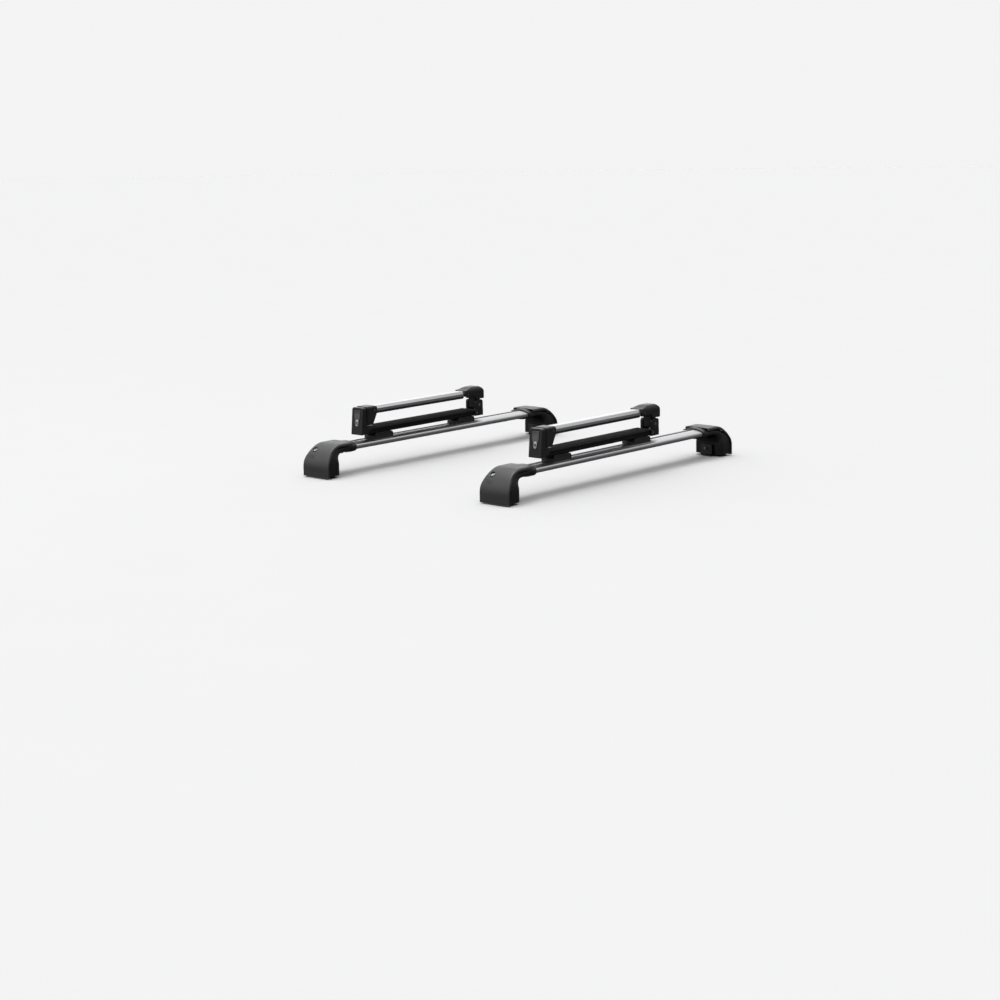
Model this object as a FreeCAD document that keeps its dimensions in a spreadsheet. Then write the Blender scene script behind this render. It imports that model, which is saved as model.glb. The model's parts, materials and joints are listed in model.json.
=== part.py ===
import FreeCAD, Part
import math
import os
import Sketcher
from types import SimpleNamespace

# Roof ski rack: two load bars on four feet, and a hinged two-arm ski clamp on each bar.
# Millimetres. X is the way the car drives, Y runs along the bars, Z is up.
# The origin is on the roof plane, midway between the bars and midway along them.
# The clamps open at their -Y end, where the push button and the lock are.

DRIVING_SIZES = {
    # whole rack
    "bar_spacing": 750,
    "rack_width": 1144,
    # load bar, an oval aluminium extrusion with a T-slot along its top
    "bar_chord": 80,
    "bar_thick": 27,
    "bar_low": 72,
    "bar_half_length": 496,
    "bar_nose": 8,
    "slot_mouth": 12,
    "slot_inside": 24,
    # foot
    "foot_width": 115,
    "cover_round": 75,
    "cover_wall": 2.5,
    "cover_top": 105,
    "cover_end": 448,
    "sleeve_end": 427,
    "sleeve_wall": 3,
    "leg_depth": 60,
    "pad_thick": 7,
    "claw_bolt_radius": 4,
    "claw_bolt_high": 28,
    # ski clamp
    "arm_low": 115,
    "arm_wide": 42,
    "arm_tall": 17,
    "arm_wall": 2.5,
    "pad_tall": 8,
    "ski_gap": 38,
    "clamp_near": 385,
    "clamp_wide": 49,
    "shoe_near": -282,
    "shoe_far": 118,
    "shoe_long": 90,
    "hinge_along": 188,
    "hinge_high": 150,
    "hinge_pin_radius": 4,
    "tower_top": 203,
    "tower_lean": 8,
    "lock_high": 154,
}

FEET = {"front_near": (1, 0), "rear_near": (-1, 0), "front_far": (1, 180), "rear_far": (-1, 180)}
CLAMPS = {"front": 1, "rear": -1}

X_AXIS = FreeCAD.Vector(1, 0, 0)
Y_AXIS = FreeCAD.Vector(0, 1, 0)
Z_AXIS = FreeCAD.Vector(0, 0, 1)


# ---------------------------------------------------------------- sizes and the sheet

class Size:
    """A length held as a number and as the sheet expression that gives it."""

    def __init__(self, value, text=None):
        self.value = float(value)
        self.text = text or f"({value})"
        self.is_plain = text is None

    def __add__(self, other):
        other = as_size(other)
        return Size(self.value + other.value, f"({self.text} + {other.text})")

    def __sub__(self, other):
        other = as_size(other)
        return Size(self.value - other.value, f"({self.text} - {other.text})")

    def __mul__(self, other):
        other = as_size(other)
        return Size(self.value * other.value, f"({self.text} * {other.text})")

    def __truediv__(self, other):
        other = as_size(other)
        return Size(self.value / other.value, f"({self.text} / {other.text})")

    def __radd__(self, other):
        return as_size(other) + self

    def __rsub__(self, other):
        return as_size(other) - self

    def __rmul__(self, other):
        return as_size(other) * self

    def __neg__(self):
        return as_size(0) - self


def as_size(number):
    return number if isinstance(number, Size) else Size(number)


def root(size):
    return Size(math.sqrt(size.value), f"sqrt({size.text})")


def make_sheet(document):
    """Write the driving sizes into a sheet and give each back by its name."""
    sheet = document.addObject("Spreadsheet::Sheet", "Sizes")
    for row, (alias, value) in enumerate(DRIVING_SIZES.items(), start=1):
        sheet.set(f"A{row}", alias)
        sheet.set(f"B{row}", str(value))
        sheet.setAlias(f"B{row}", alias)
    document.recompute()
    return SimpleNamespace(**{alias: Size(value, f"Sizes.{alias}")
                              for alias, value in DRIVING_SIZES.items()})


doc = FreeCAD.newDocument("roof_ski_rack")
dims = make_sheet(doc)
nodes = {}

outer_face = -dims.rack_width / 2
bar_mid = dims.bar_low + dims.bar_thick / 2
bar_top = dims.bar_low + dims.bar_thick
arm_top = dims.arm_low + dims.arm_tall
lower_pad_top = arm_top + dims.pad_tall
upper_pad_low = lower_pad_top + dims.ski_gap
upper_arm_low = upper_pad_low + dims.pad_tall
upper_arm_top = upper_arm_low + dims.arm_tall
half_clamp = dims.clamp_wide / 2


# ---------------------------------------------------------------- drawing and solids

def arc_between(first, last, radius):
    """The shorter arc from first to last. A positive radius turns left, a negative one right."""
    chord = last - first
    side = math.copysign(1, radius)
    height = math.sqrt(max(radius ** 2 - (chord.Length / 2) ** 2, 0))
    left = FreeCAD.Vector(-chord.y, chord.x, 0).normalize()
    centre = (first + last) * 0.5 + left * height * side
    begin, end = (first, last) if radius > 0 else (last, first)
    angles = [math.atan2(point.y - centre.y, point.x - centre.x) for point in (begin, end)]
    return Part.ArcOfCircle(Part.Circle(centre, Z_AXIS, abs(radius)), *angles)


def fix(sketch, kind, references, size):
    """Add one dimension to a sketch, bound to the sheet unless it is a plain number."""
    size = as_size(size)
    number = sketch.addConstraint(Sketcher.Constraint(kind, *references, size.value))
    if not size.is_plain:
        sketch.setExpression(f"Constraints[{number}]", size.text)


def fix_point(sketch, geometry, position, corner):
    """Tie a point to the sketch's origin along both directions."""
    for kind, axis, coordinate in (("DistanceX", -2, corner[0]), ("DistanceY", -1, corner[1])):
        coordinate = as_size(coordinate)
        if coordinate.is_plain and coordinate.value == 0:
            sketch.addConstraint(Sketcher.Constraint("PointOnObject", geometry, position, axis))
        else:
            fix(sketch, kind, (-1, 1, geometry, position), coordinate)


def draw_circle(sketch, across, up, radius):
    centre = FreeCAD.Vector(as_size(across).value, as_size(up).value, 0)
    circle = sketch.addGeometry(Part.Circle(centre, Z_AXIS, as_size(radius).value), False)
    fix_point(sketch, circle, 3, (across, up))
    fix(sketch, "Radius", (circle,), radius)


def draw_loop(sketch, corners):
    """A closed outline. A corner is (across, up), or (across, up, radius) where an arc starts."""
    points = [FreeCAD.Vector(as_size(c[0]).value, as_size(c[1]).value, 0) for c in corners]
    sides = []
    for index, corner in enumerate(corners):
        first = points[index]
        last = points[(index + 1) % len(points)]
        if len(corner) == 2:
            sides.append((sketch.addGeometry(Part.LineSegment(first, last), False), 1, 2))
            continue
        bend = as_size(corner[2])
        side = sketch.addGeometry(arc_between(first, last, bend.value), False)
        sides.append((side, 1, 2) if bend.value > 0 else (side, 2, 1))
    for index, (side, start, end) in enumerate(sides):
        following, following_start, _ = sides[(index + 1) % len(sides)]
        sketch.addConstraint(
            Sketcher.Constraint("Coincident", side, end, following, following_start))
        fix_point(sketch, side, start, corners[index])
        if len(corners[index]) == 3:
            bend = as_size(corners[index][2])
            fix(sketch, "Radius", (side,), bend if bend.value > 0 else -bend)


def origin_plane(body, plane):
    return next(f for f in body.Origin.OriginFeatures if f.Role == f"{plane}_Plane")


def add_sketch(body, plane, loops, offset):
    """A sketch on one of the body's own planes, moved along that plane's normal."""
    sketch = body.newObject("Sketcher::SketchObject", f"{body.Name}_outline")
    sketch.AttachmentSupport = [(origin_plane(body, plane), "")]
    sketch.MapMode = "FlatFace"
    sketch.AttachmentOffset = FreeCAD.Placement(
        FreeCAD.Vector(0, 0, offset.value), FreeCAD.Rotation())
    if not offset.is_plain:
        sketch.setExpression("AttachmentOffset.Base.z", offset.text)
    for loop in loops:
        if loop[0] == "circle":
            draw_circle(sketch, *loop[1:])
        else:
            draw_loop(sketch, loop)
    return sketch


def bind(thing, path, size):
    """Set a property from a size, and bind it to the sheet unless it is a plain number."""
    size = as_size(size)
    if size.is_plain:
        setattr(thing, path, size.value)
    else:
        thing.setExpression(path, size.text)


# The XZ plane's normal is -Y, so lengths along it run backwards.
def pad(body, plane, loops, start, stop):
    start, stop = as_size(start), as_size(stop)
    offset = -stop if plane == "XZ" else start
    sketch = add_sketch(body, plane, loops, offset)
    feature = body.newObject("PartDesign::Pad", f"{body.Name}_pad")
    feature.Profile = sketch
    bind(feature, "Length", stop - start)
    doc.recompute()


def pocket(body, plane, loops, start, stop):
    before = body.Shape.Volume
    start, stop = as_size(start), as_size(stop)
    offset = -start if plane == "XZ" else stop
    sketch = add_sketch(body, plane, loops, offset)
    feature = body.newObject("PartDesign::Pocket", f"{body.Name}_pocket")
    feature.Profile = sketch
    bind(feature, "Length", stop - start)
    doc.recompute()
    if body.Shape.Volume > before - 0.5:
        raise RuntimeError(f"a pocket of {body.Label} cut nothing")


def round_edges(body, radius, wanted):
    """Fillet the edges for which wanted(edge's middle point, edge) is true."""
    base = body.Tip
    names = [f"Edge{number}" for number, edge in enumerate(base.Shape.Edges, start=1)
             if wanted(edge.CenterOfMass, edge)]
    fillet = body.newObject("PartDesign::Fillet", f"{body.Name}_fillet")
    fillet.Base = (base, names)
    bind(fillet, "Radius", radius)
    doc.recompute()


def new_body(label):
    body = doc.addObject("PartDesign::Body", label)
    body.Label = label
    return body


def box(label, low, high):
    """A box between two corners."""
    block = doc.addObject("Part::Box", label)
    for name, axis, first, last in zip(("Length", "Width", "Height"), "xyz", low, high):
        bind(block, name, as_size(last) - first)
        block.setExpression(f"Placement.Base.{axis}", as_size(first).text)
    return block


def rod(label, radius, start, direction, length):
    """A cylinder from start along a direction."""
    cylinder = doc.addObject("Part::Cylinder", label)
    bind(cylinder, "Radius", radius)
    bind(cylinder, "Height", length)
    cylinder.Placement.Rotation = FreeCAD.Rotation(Z_AXIS, direction)
    for axis, coordinate in zip("xyz", start):
        cylinder.setExpression(f"Placement.Base.{axis}", as_size(coordinate).text)
    return cylinder


def hexagon(label, across_flats, start, direction, length):
    """A hexagonal prism from start along a direction."""
    prism = doc.addObject("Part::Prism", label)
    prism.Polygon = 6
    prism.Circumradius = across_flats / math.sqrt(3)
    bind(prism, "Height", length)
    prism.Placement.Rotation = FreeCAD.Rotation(Z_AXIS, direction)
    for axis, coordinate in zip("xyz", start):
        prism.setExpression(f"Placement.Base.{axis}", as_size(coordinate).text)
    return prism


def combine(kind, label, pieces):
    """Part::MultiFuse joins pieces, Part::Compound groups separate ones."""
    result = doc.addObject(kind, label)
    if kind == "Part::MultiFuse":
        result.Shapes = pieces
    else:
        result.Links = pieces
    result.Label = label
    doc.recompute()
    return result


def cut(label, base, tool):
    result = doc.addObject("Part::Cut", label)
    result.Base = base
    result.Tool = tool
    result.Label = label
    doc.recompute()
    return result


def place(piece, side, turn=0):
    """Set a piece modelled about the car's middle over the front (1) or rear (-1) bar."""
    piece.Placement = FreeCAD.Placement(FreeCAD.Vector(), FreeCAD.Rotation(Z_AXIS, turn))
    piece.setExpression("Placement.Base.x", (dims.bar_spacing * (side / 2)).text)
    return piece


def keep(piece):
    nodes[piece.Label] = piece


# ---------------------------------------------------------------- outlines used more than once

def oval(offset, middle=None):
    """The bar's oval section, grown by offset: two shallow arcs joined by two nose arcs."""
    middle = middle or bar_mid
    half_chord = dims.bar_chord / 2 - dims.bar_nose
    half_thick = dims.bar_thick / 2
    flat_round = ((half_chord * half_chord + half_thick * half_thick
                   - dims.bar_nose * dims.bar_nose) / (2 * (half_thick - dims.bar_nose)))
    reach = flat_round - dims.bar_nose
    across = half_chord + (dims.bar_nose + offset) * half_chord / reach
    up = (dims.bar_nose + offset) * (flat_round - half_thick) / reach
    shallow = flat_round + offset
    nose = dims.bar_nose + offset
    return [(-across, middle - up, shallow), (across, middle - up, nose),
            (across, middle + up, shallow), (-across, middle + up, nose)]


def foot_front_outline(inset, low):
    """The foot seen along the bar: straight low sides, a taper, and rounded top corners."""
    foot_half = dims.foot_width / 2 - inset
    shoulder_half = 46 - inset
    corner = 21 - inset
    shoulder_high = dims.cover_top - 21
    side_high = dims.cover_top - 45
    return [(-foot_half, low), (foot_half, low), (foot_half, side_high),
            (shoulder_half, shoulder_high, corner), (25, dims.cover_top - inset),
            (-25, dims.cover_top - inset, corner), (-shoulder_half, shoulder_high),
            (-foot_half, side_high)]


def all_but(outline):
    """The region around an outline, for trimming a piece to it."""
    return [[(-90, -20), (90, -20), (90, 260), (-90, 260)], outline]


def quarter_outline(inset, low, end):
    """The foot seen along the car: a vertical outer face that curves over to a flat top."""
    face = outer_face + inset
    curve = dims.cover_round - inset
    top = dims.cover_top - inset
    bend_high = dims.cover_top - dims.cover_round
    bend_end = outer_face + dims.cover_round
    return [(face, low), (face, bend_high, -curve), (bend_end, top), (end, top)]


def rectangle(left, low, right, high):
    return [(left, low), (right, low), (right, high), (left, high)]


def mirrored(corners):
    """The same outline on the other side of the upright axis."""
    return [(-as_size(corner[0]), corner[1]) for corner in reversed(corners)]


# ---------------------------------------------------------------- load bars

FOOT_SCREWS_ALONG = (456, 480)


def make_bar(label, side):
    """A hollow oval extrusion with a T-slot along its top and screw holes at both ends."""
    body = new_body(label)
    pad(body, "XZ", [oval(as_size(0))], -dims.bar_half_length, dims.bar_half_length)
    mouth = dims.slot_mouth / 2
    inside = dims.slot_inside / 2
    lip_low = bar_top - 3
    slot_floor = bar_top - 11
    slot = [(-inside, slot_floor), (inside, slot_floor), (inside, lip_low), (mouth, lip_low),
            (mouth, bar_top + 1), (-mouth, bar_top + 1), (-mouth, lip_low), (-inside, lip_low)]
    chamber = [(14.5, bar_mid - 9.8), (30, bar_mid - 6.6), (34, bar_mid), (30, bar_mid + 6.6),
               (14.5, bar_mid + 9.8)]
    middle_chamber = rectangle(-inside, bar_mid - 10.2, inside, slot_floor - 2.5)
    for outline in (slot, chamber, mirrored(chamber), middle_chamber):
        pocket(body, "XZ", [outline], -dims.bar_half_length, dims.bar_half_length)
    holes = [("circle", 0, end * along, 3.1) for end in (-1, 1) for along in FOOT_SCREWS_ALONG]
    pocket(body, "XY", holes, dims.bar_low - 1, dims.bar_low + 6)
    keep(place(body, side))


def make_slot_strips():
    """Rubber strips that close the T-slot between the feet and the clamps' shoes."""
    half_shoe = dims.shoe_long / 2
    gap = 1
    runs = ((-dims.sleeve_end + gap, dims.shoe_near - half_shoe - gap),
            (dims.shoe_near + half_shoe + gap, dims.shoe_far - half_shoe - gap),
            (dims.shoe_far + half_shoe + gap, dims.sleeve_end - gap))
    strips = []
    for name, side in CLAMPS.items():
        middle = dims.bar_spacing * (side / 2)
        for number, (start, end) in enumerate(runs, start=1):
            crest = box(f"{name}_strip_crest_{number}", (middle - 5.9, start, bar_top - 3.2),
                        (middle + 5.9, end, bar_top + 0.4))
            flange = box(f"{name}_strip_flange_{number}", (middle - 9, start, bar_top - 5.2),
                         (middle + 9, end, bar_top - 3))
            strips.append(combine("Part::MultiFuse", f"{name}_strip_{number}", [crest, flange]))
    keep(combine("Part::Compound", "slot_strips", strips))


# ---------------------------------------------------------------- feet

cover_pin_along = outer_face + 6
cover_pin_high = as_size(5)
sleeve_start = outer_face + 76
leg_end = outer_face + dims.leg_depth
COVER_PIN_RADIUS = 2
LOCK_SIDE = -26
LOCK_TILT = math.radians(50)
LOCK_OUT = FreeCAD.Vector(0, -math.cos(LOCK_TILT), math.sin(LOCK_TILT))
LOCK_RADIUS = 6.5


def leg_profile():
    """The leg from the side, with a hollow curve under the sleeve."""
    under_round = 24
    sleeve_low = dims.bar_low - dims.sleeve_wall
    inset = 6
    return [(leg_end, dims.pad_thick), (leg_end, sleeve_low - under_round, -under_round),
            (leg_end + under_round, sleeve_low), (leg_end + under_round, dims.cover_top - inset),
            (outer_face + dims.cover_round, dims.cover_top - inset, dims.cover_round - inset),
            (outer_face + inset, dims.cover_top - dims.cover_round), (outer_face + inset, 15),
            (outer_face + 14, dims.pad_thick)]


def make_foot_body(label, side, turn):
    """The moulded leg, its sleeve round the bar, and two lugs that hold the cover's pins."""
    body = new_body(label)
    half = dims.foot_width / 2
    pad(body, "YZ", [leg_profile()], -half, half)
    pocket(body, "XZ", all_but(foot_front_outline(3.5, 0)), outer_face - 1, sleeve_start + 60)
    pad(body, "XZ", [oval(dims.sleeve_wall)], sleeve_start - 6, -dims.cover_end + 1)
    pad(body, "XZ", [oval(as_size(5))], -dims.cover_end + 0.5, -dims.sleeve_end)
    pocket(body, "XZ", [oval(as_size(0.1))], sleeve_start - 0.1, -dims.sleeve_end + 1)
    # room for the claw bolt's head, its shaft, and the cover's lock
    pocket(body, "XZ", [rectangle(-20, 16, 20, 58)], outer_face, outer_face + 32)
    shaft = ("circle", 0, dims.claw_bolt_high, dims.claw_bolt_radius + 0.3)
    pocket(body, "XZ", [shaft], outer_face + 30, leg_end + 1)
    pocket(body, "XZ", [rectangle(-60, 66, -12, 112)], outer_face, outer_face + 46)
    lug = [(cover_pin_along, cover_pin_high - 3.2), (leg_end - 34, cover_pin_high - 3.2),
           (leg_end - 34, cover_pin_high + 3.2), (cover_pin_along, cover_pin_high + 3.2)]
    for low, high in ((-54, -41), (41, 54)):
        pad(body, "YZ", [lug], low, high)
        pad(body, "YZ", [("circle", cover_pin_along, cover_pin_high, 3.2)], low, high)
    pin_hole = ("circle", cover_pin_along, cover_pin_high, COVER_PIN_RADIUS)
    pocket(body, "YZ", [pin_hole], -60, 60)
    holes = [("circle", 0, -along, 3.1) for along in FOOT_SCREWS_ALONG]
    pocket(body, "XY", holes, dims.bar_low - dims.sleeve_wall - 1, dims.bar_low + 1)
    keep(place(body, side, turn))


def make_foot_pad(label, side, turn):
    """The rubber pad under the leg, with a bevel all round its sole."""
    body = new_body(label)
    outer, inner = outer_face + 12, leg_end - 14
    sole = [(outer + 2, 0), (inner - 2, 0), (inner, 2), (inner, dims.pad_thick),
            (outer, dims.pad_thick), (outer, 2)]
    pad(body, "YZ", [sole], -38, 38)
    keep(place(body, side, turn))


def lock_face():
    """The middle of the lock's face, on the cover's curve."""
    round_along = outer_face + dims.cover_round
    round_high = dims.cover_top - dims.cover_round
    return (round_along + dims.cover_round * LOCK_OUT.y, round_high + dims.cover_round * LOCK_OUT.z)


def lock_rod(label, radius, depth, length):
    """A cylinder on the lock's axis, from a depth below the cover's surface inwards."""
    along, high = lock_face()
    start = (as_size(LOCK_SIDE), along - depth * LOCK_OUT.y, high - depth * LOCK_OUT.z)
    return rod(label, radius, start, -LOCK_OUT, length)


def make_foot_cover(label, side, turn):
    """The curved cover that tips outwards: a thin shell with short sides and a lock boss."""
    wall = dims.cover_wall
    half = dims.foot_width / 2
    side_depth = 10
    low = 1.5
    outer = new_body(f"{label}_outside")
    band = quarter_outline(0, low, -dims.cover_end)
    band += [(-dims.cover_end, dims.cover_top - side_depth)]
    band += [(outer_face + dims.cover_round, dims.cover_top - side_depth,
              dims.cover_round - side_depth)]
    band += [(outer_face + side_depth, dims.cover_top - dims.cover_round),
             (outer_face + side_depth, low)]
    pad(outer, "YZ", [band], -half, half)
    pocket(outer, "XZ", all_but(foot_front_outline(0, 0)), outer_face - 1, -dims.cover_end + 1)
    inner = new_body(f"{label}_inside")
    hollow = quarter_outline(wall, low - 1, -dims.cover_end + 1)
    hollow += [(-dims.cover_end + 1, low - 1)]
    pad(inner, "YZ", [hollow], -half, half)
    pocket(inner, "XZ", all_but(foot_front_outline(wall, -2)), outer_face - 1, -dims.cover_end + 2)
    shell = cut(f"{label}_shell", outer, inner)
    boss = lock_rod(f"{label}_boss", LOCK_RADIUS + 3, 1.6, 10)
    whole = combine("Part::MultiFuse", f"{label}_whole", [shell, boss])
    lock_hole = lock_rod(f"{label}_lock_hole", LOCK_RADIUS + 0.05, -5, 20)
    pin_hole = rod(f"{label}_pin_hole", COVER_PIN_RADIUS + 0.05,
                   (as_size(-60), cover_pin_along, cover_pin_high), X_AXIS, 120)
    holes = combine("Part::MultiFuse", f"{label}_holes", [lock_hole, pin_hole])
    keep(place(cut(label, whole, holes), side, turn))


def make_foot_lock(label, side, turn):
    """The lock's cylinder with a slot for the key across its face."""
    barrel = lock_rod(f"{label}_barrel", LOCK_RADIUS, 0.8, 15)
    along, high = lock_face()
    slot = doc.addObject("Part::Box", f"{label}_slot")
    slot.Length, slot.Width, slot.Height = 1.4, 7, 4
    turn_to_face = FreeCAD.Rotation(Z_AXIS, -LOCK_OUT)
    corner = turn_to_face.multVec(FreeCAD.Vector(-0.7, -3.5, 0))
    slot.Placement.Rotation = turn_to_face
    slot.setExpression("Placement.Base.x", (LOCK_SIDE + as_size(corner.x)).text)
    slot.setExpression("Placement.Base.y", (along + corner.y).text)
    slot.setExpression("Placement.Base.z", (high + corner.z).text)
    keep(place(cut(label, barrel, slot), side, turn))


def make_foot_claw(label, side, turn):
    """The steel claw that the bolt draws outwards under the edge of the roof rail."""
    body = new_body(label)
    near, far = leg_end + 6, leg_end + 10
    hook = [(near - 10, 2.5), (far, 2.5), (far, 40), (near, 40), (near, 6), (near - 10, 6)]
    pad(body, "YZ", [hook], -22, 22)
    hole = ("circle", 0, dims.claw_bolt_high, dims.claw_bolt_radius + 0.05)
    pocket(body, "XZ", [hole], near - 2, far + 1)
    keep(place(body, side, turn))


def make_foot_bolt(label, side, turn):
    """The bolt that draws the claw in, with a hexagon socket in its head."""
    high = dims.claw_bolt_high
    head_start = outer_face + 22
    head = rod(f"{label}_head", 6.5, (as_size(0), head_start, high), Y_AXIS, 9.7)
    shaft = rod(f"{label}_shaft", dims.claw_bolt_radius, (as_size(0), head_start + 9, high),
                Y_AXIS, leg_end + 18 - head_start - 9)
    whole = combine("Part::MultiFuse", f"{label}_whole", [head, shaft])
    socket = hexagon(f"{label}_socket", 6, (as_size(0), head_start - 1, high), Y_AXIS, 6)
    keep(place(cut(label, whole, socket), side, turn))


def place_group(label, shape_maker, places):
    """A group of like pieces, one built for each place."""
    pieces = []
    for number, (side, turn) in enumerate(places, start=1):
        pieces.append(place(shape_maker(f"{label}_{number}"), side, turn))
    keep(combine("Part::Compound", label, pieces))


def cover_pin_pair(label):
    """The two short pins that one cover turns on."""
    pins = [rod(f"{label}_{name}", COVER_PIN_RADIUS, (as_size(start), cover_pin_along,
                cover_pin_high), X_AXIS, 16) for name, start in (("left", -57.3), ("right", 41.3))]
    return combine("Part::Compound", f"{label}_pair", pins)


def foot_screw_pair(label):
    """The two screws under one sleeve that hold the bar in it."""
    screws = []
    for along in FOOT_SCREWS_ALONG:
        low = dims.bar_low - dims.sleeve_wall
        head = rod(f"{label}_head_{along}", 5.5, (as_size(0), as_size(-along), low - 3.5), Z_AXIS,
                   3.5)
        shaft = rod(f"{label}_shaft_{along}", 3, (as_size(0), as_size(-along), low - 1), Z_AXIS, 11)
        socket = hexagon(f"{label}_socket_{along}", 4, (as_size(0), as_size(-along), low - 4.5),
                         Z_AXIS, 3)
        whole = combine("Part::MultiFuse", f"{label}_whole_{along}", [head, shaft])
        screws.append(cut(f"{label}_screw_{along}", whole, socket))
    return combine("Part::Compound", f"{label}_pair", screws)


# ---------------------------------------------------------------- ski clamps

ARM_LIP = 13
SPRING_HIGH = 188
PAD_RIBS = 6
RIB_PITCH = 6
lower_arm_near = -dims.clamp_near + 23.5
lower_arm_far = dims.hinge_along - 2
upper_arm_near = -dims.clamp_near + 41
upper_arm_far = dims.hinge_along - 38
shoe_middles = (dims.shoe_near, dims.shoe_far)
base_screw_place = (dims.hinge_along - 12, dims.arm_low + 8.5, 23)
head_screw_place = (dims.hinge_along - 56, upper_arm_low + 6, 22.5)
latch_screw_place = (-dims.clamp_near + 62, upper_arm_low + 6, 22.5)
SCREW_HEAD = 3.4
SCREW_SHAFT = 2


def channel(low, top, half, lips_up, bevel=None):
    """An arm's section: a box whose open side has lips that hold the rubber pad's root."""
    wall = dims.arm_wall
    bevel_across, bevel_up = bevel or (0, 0)
    flip = 1 if lips_up else -1
    back, front = (low, top) if lips_up else (top, low)
    outline = [(-half + bevel_across, back), (half - bevel_across, back)]
    if bevel:
        outline += [(half, back + flip * as_size(bevel_up))]
    outline += [(half, front), (ARM_LIP, front), (ARM_LIP, front - flip * wall),
                (half - wall, front - flip * wall)]
    inside_back = back + flip * (wall + (bevel_up if bevel else 0))
    outline += [(half - wall, inside_back)]
    if bevel:
        inner_half = half - bevel_across - wall * 0.4
        outline += [(inner_half, back + flip * wall), (-inner_half, back + flip * wall)]
    outline += [(-half + wall, inside_back), (-half + wall, front - flip * wall),
                (-ARM_LIP, front - flip * wall), (-ARM_LIP, front), (-half, front)]
    if bevel:
        outline += [(-half, back + flip * as_size(bevel_up))]
    return outline


def ribbed_pad(root_level, face_level, half):
    """A rubber pad's section: a root held under the arm's lips and a row of ribs for the skis."""
    flip = 1 if face_level.value > root_level.value else -1
    inner = root_level - flip * dims.arm_wall
    base = face_level - flip * 4
    outline = [(-ARM_LIP - 3, inner - flip * 3), (ARM_LIP + 3, inner - flip * 3),
               (ARM_LIP + 3, inner), (ARM_LIP - 0.2, inner), (ARM_LIP - 0.2, root_level),
               (half, root_level), (half, base)]
    for rib in range(PAD_RIBS):
        middle = RIB_PITCH * (PAD_RIBS - 1) / 2 - RIB_PITCH * rib
        outline += [(middle + 2.6, base), (middle + 1.4, face_level), (middle - 1.4, face_level),
                    (middle - 2.6, base)]
    outline += [(-half, base), (-half, root_level), (-ARM_LIP + 0.2, root_level),
                (-ARM_LIP + 0.2, inner), (-ARM_LIP - 3, inner)]
    return outline


def make_lower_arm(label, side):
    """The dark channel bolted over the bar."""
    body = new_body(label)
    half = dims.arm_wide / 2
    pad(body, "XZ", [channel(dims.arm_low, arm_top, half, True)], lower_arm_near, lower_arm_far)
    holes = [("circle", 0, middle, 4.2) for middle in shoe_middles]
    pocket(body, "XY", holes, dims.arm_low - 1, dims.arm_low + dims.arm_wall + 1)
    keep(place(body, side))


def make_upper_arm(label, side):
    """The bright bevelled channel that swings up."""
    body = new_body(label)
    section = channel(upper_arm_low, upper_arm_top, as_size(20), False, (8, 9))
    pad(body, "XZ", [section], upper_arm_near, upper_arm_far)
    keep(place(body, side))


def make_ski_pad(label, side, levels, ends):
    """A ribbed rubber pad, from its root and face levels and its two ends."""
    body = new_body(label)
    pad(body, "XZ", [ribbed_pad(*levels, as_size(18))], *ends)
    keep(place(body, side))


def make_hinge_base(label, side):
    """The bracket round the lower arm's far end, with two ears for the hinge pin."""
    body = new_body(label)
    start, end = dims.hinge_along - 23, dims.hinge_along + 18
    low, top = dims.arm_low - 2.5, arm_top + 2.5
    pad(body, "XZ", [rectangle(-half_clamp, low, half_clamp, top)], start, end)
    half = dims.arm_wide / 2
    pocket(body, "XZ", [rectangle(-half, dims.arm_low, half, arm_top)], start - 1, lower_arm_far)
    ear = rectangle(dims.hinge_along - 17, top - 1, dims.hinge_along + 17, dims.hinge_high)
    for inner, outer in ((15, half_clamp), (-half_clamp, -15)):
        pad(body, "YZ", [ear], inner, outer)
        pad(body, "YZ", [("circle", dims.hinge_along, dims.hinge_high, 17)], inner, outer)
    pin = ("circle", dims.hinge_along, dims.hinge_high, dims.hinge_pin_radius)
    pocket(body, "YZ", [pin], -half_clamp - 1, half_clamp + 1)
    side_screw_holes(body, *base_screw_place)
    keep(place(body, side))


def make_hinge_head(label, side):
    """The domed cap on the upper arm's far end, with a knuckle that turns on the pin."""
    body = new_body(label)
    along, high = dims.hinge_along, dims.hinge_high
    under = high + 20.5
    cap_near, cap_far = along - 71, along + 23
    cap = [(cap_near, upper_arm_low - 2.5), (along - 23, upper_arm_low - 2.5),
           (along - 16, under), (cap_far, under), (cap_far, high + 46, 16),
           (along + 9, high + 63, 180), (along - 30, high + 64), (along - 60, upper_arm_top + 2.5),
           (cap_near, upper_arm_top + 2.5)]
    pad(body, "YZ", [cap], -half_clamp, half_clamp)
    pad(body, "YZ", [rectangle(along - 14, high, along + 14, under + 1)], -14.5, 14.5)
    pad(body, "YZ", [("circle", along, high, 14)], -14.5, 14.5)
    pin = ("circle", along, high, dims.hinge_pin_radius + 0.05)
    pocket(body, "YZ", [pin], -16, 16)
    pocket(body, "XZ", [arm_outline()], cap_near - 1, upper_arm_far)
    side_screw_holes(body, *head_screw_place)
    keep(place(body, side))


def arm_outline():
    """The outside of the upper arm's section."""
    return [(-20, upper_arm_low), (20, upper_arm_low), (20, upper_arm_top - 9),
            (12, upper_arm_top), (-12, upper_arm_top), (-20, upper_arm_top - 9)]


def hinge_pin(label):
    pin = rod(f"{label}_rod", dims.hinge_pin_radius,
              (-half_clamp, dims.hinge_along, dims.hinge_high), X_AXIS, dims.clamp_wide)
    return combine("Part::Compound", label, [pin])


tower_near = -dims.clamp_near
tower_low = dims.arm_low
wedge_top = arm_top + 11


def face_along(high, proud=0):
    """Where the tower's leaning face is at a height."""
    return tower_near - proud + dims.tower_lean * (high - tower_low) / (dims.tower_top - tower_low)


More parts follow.
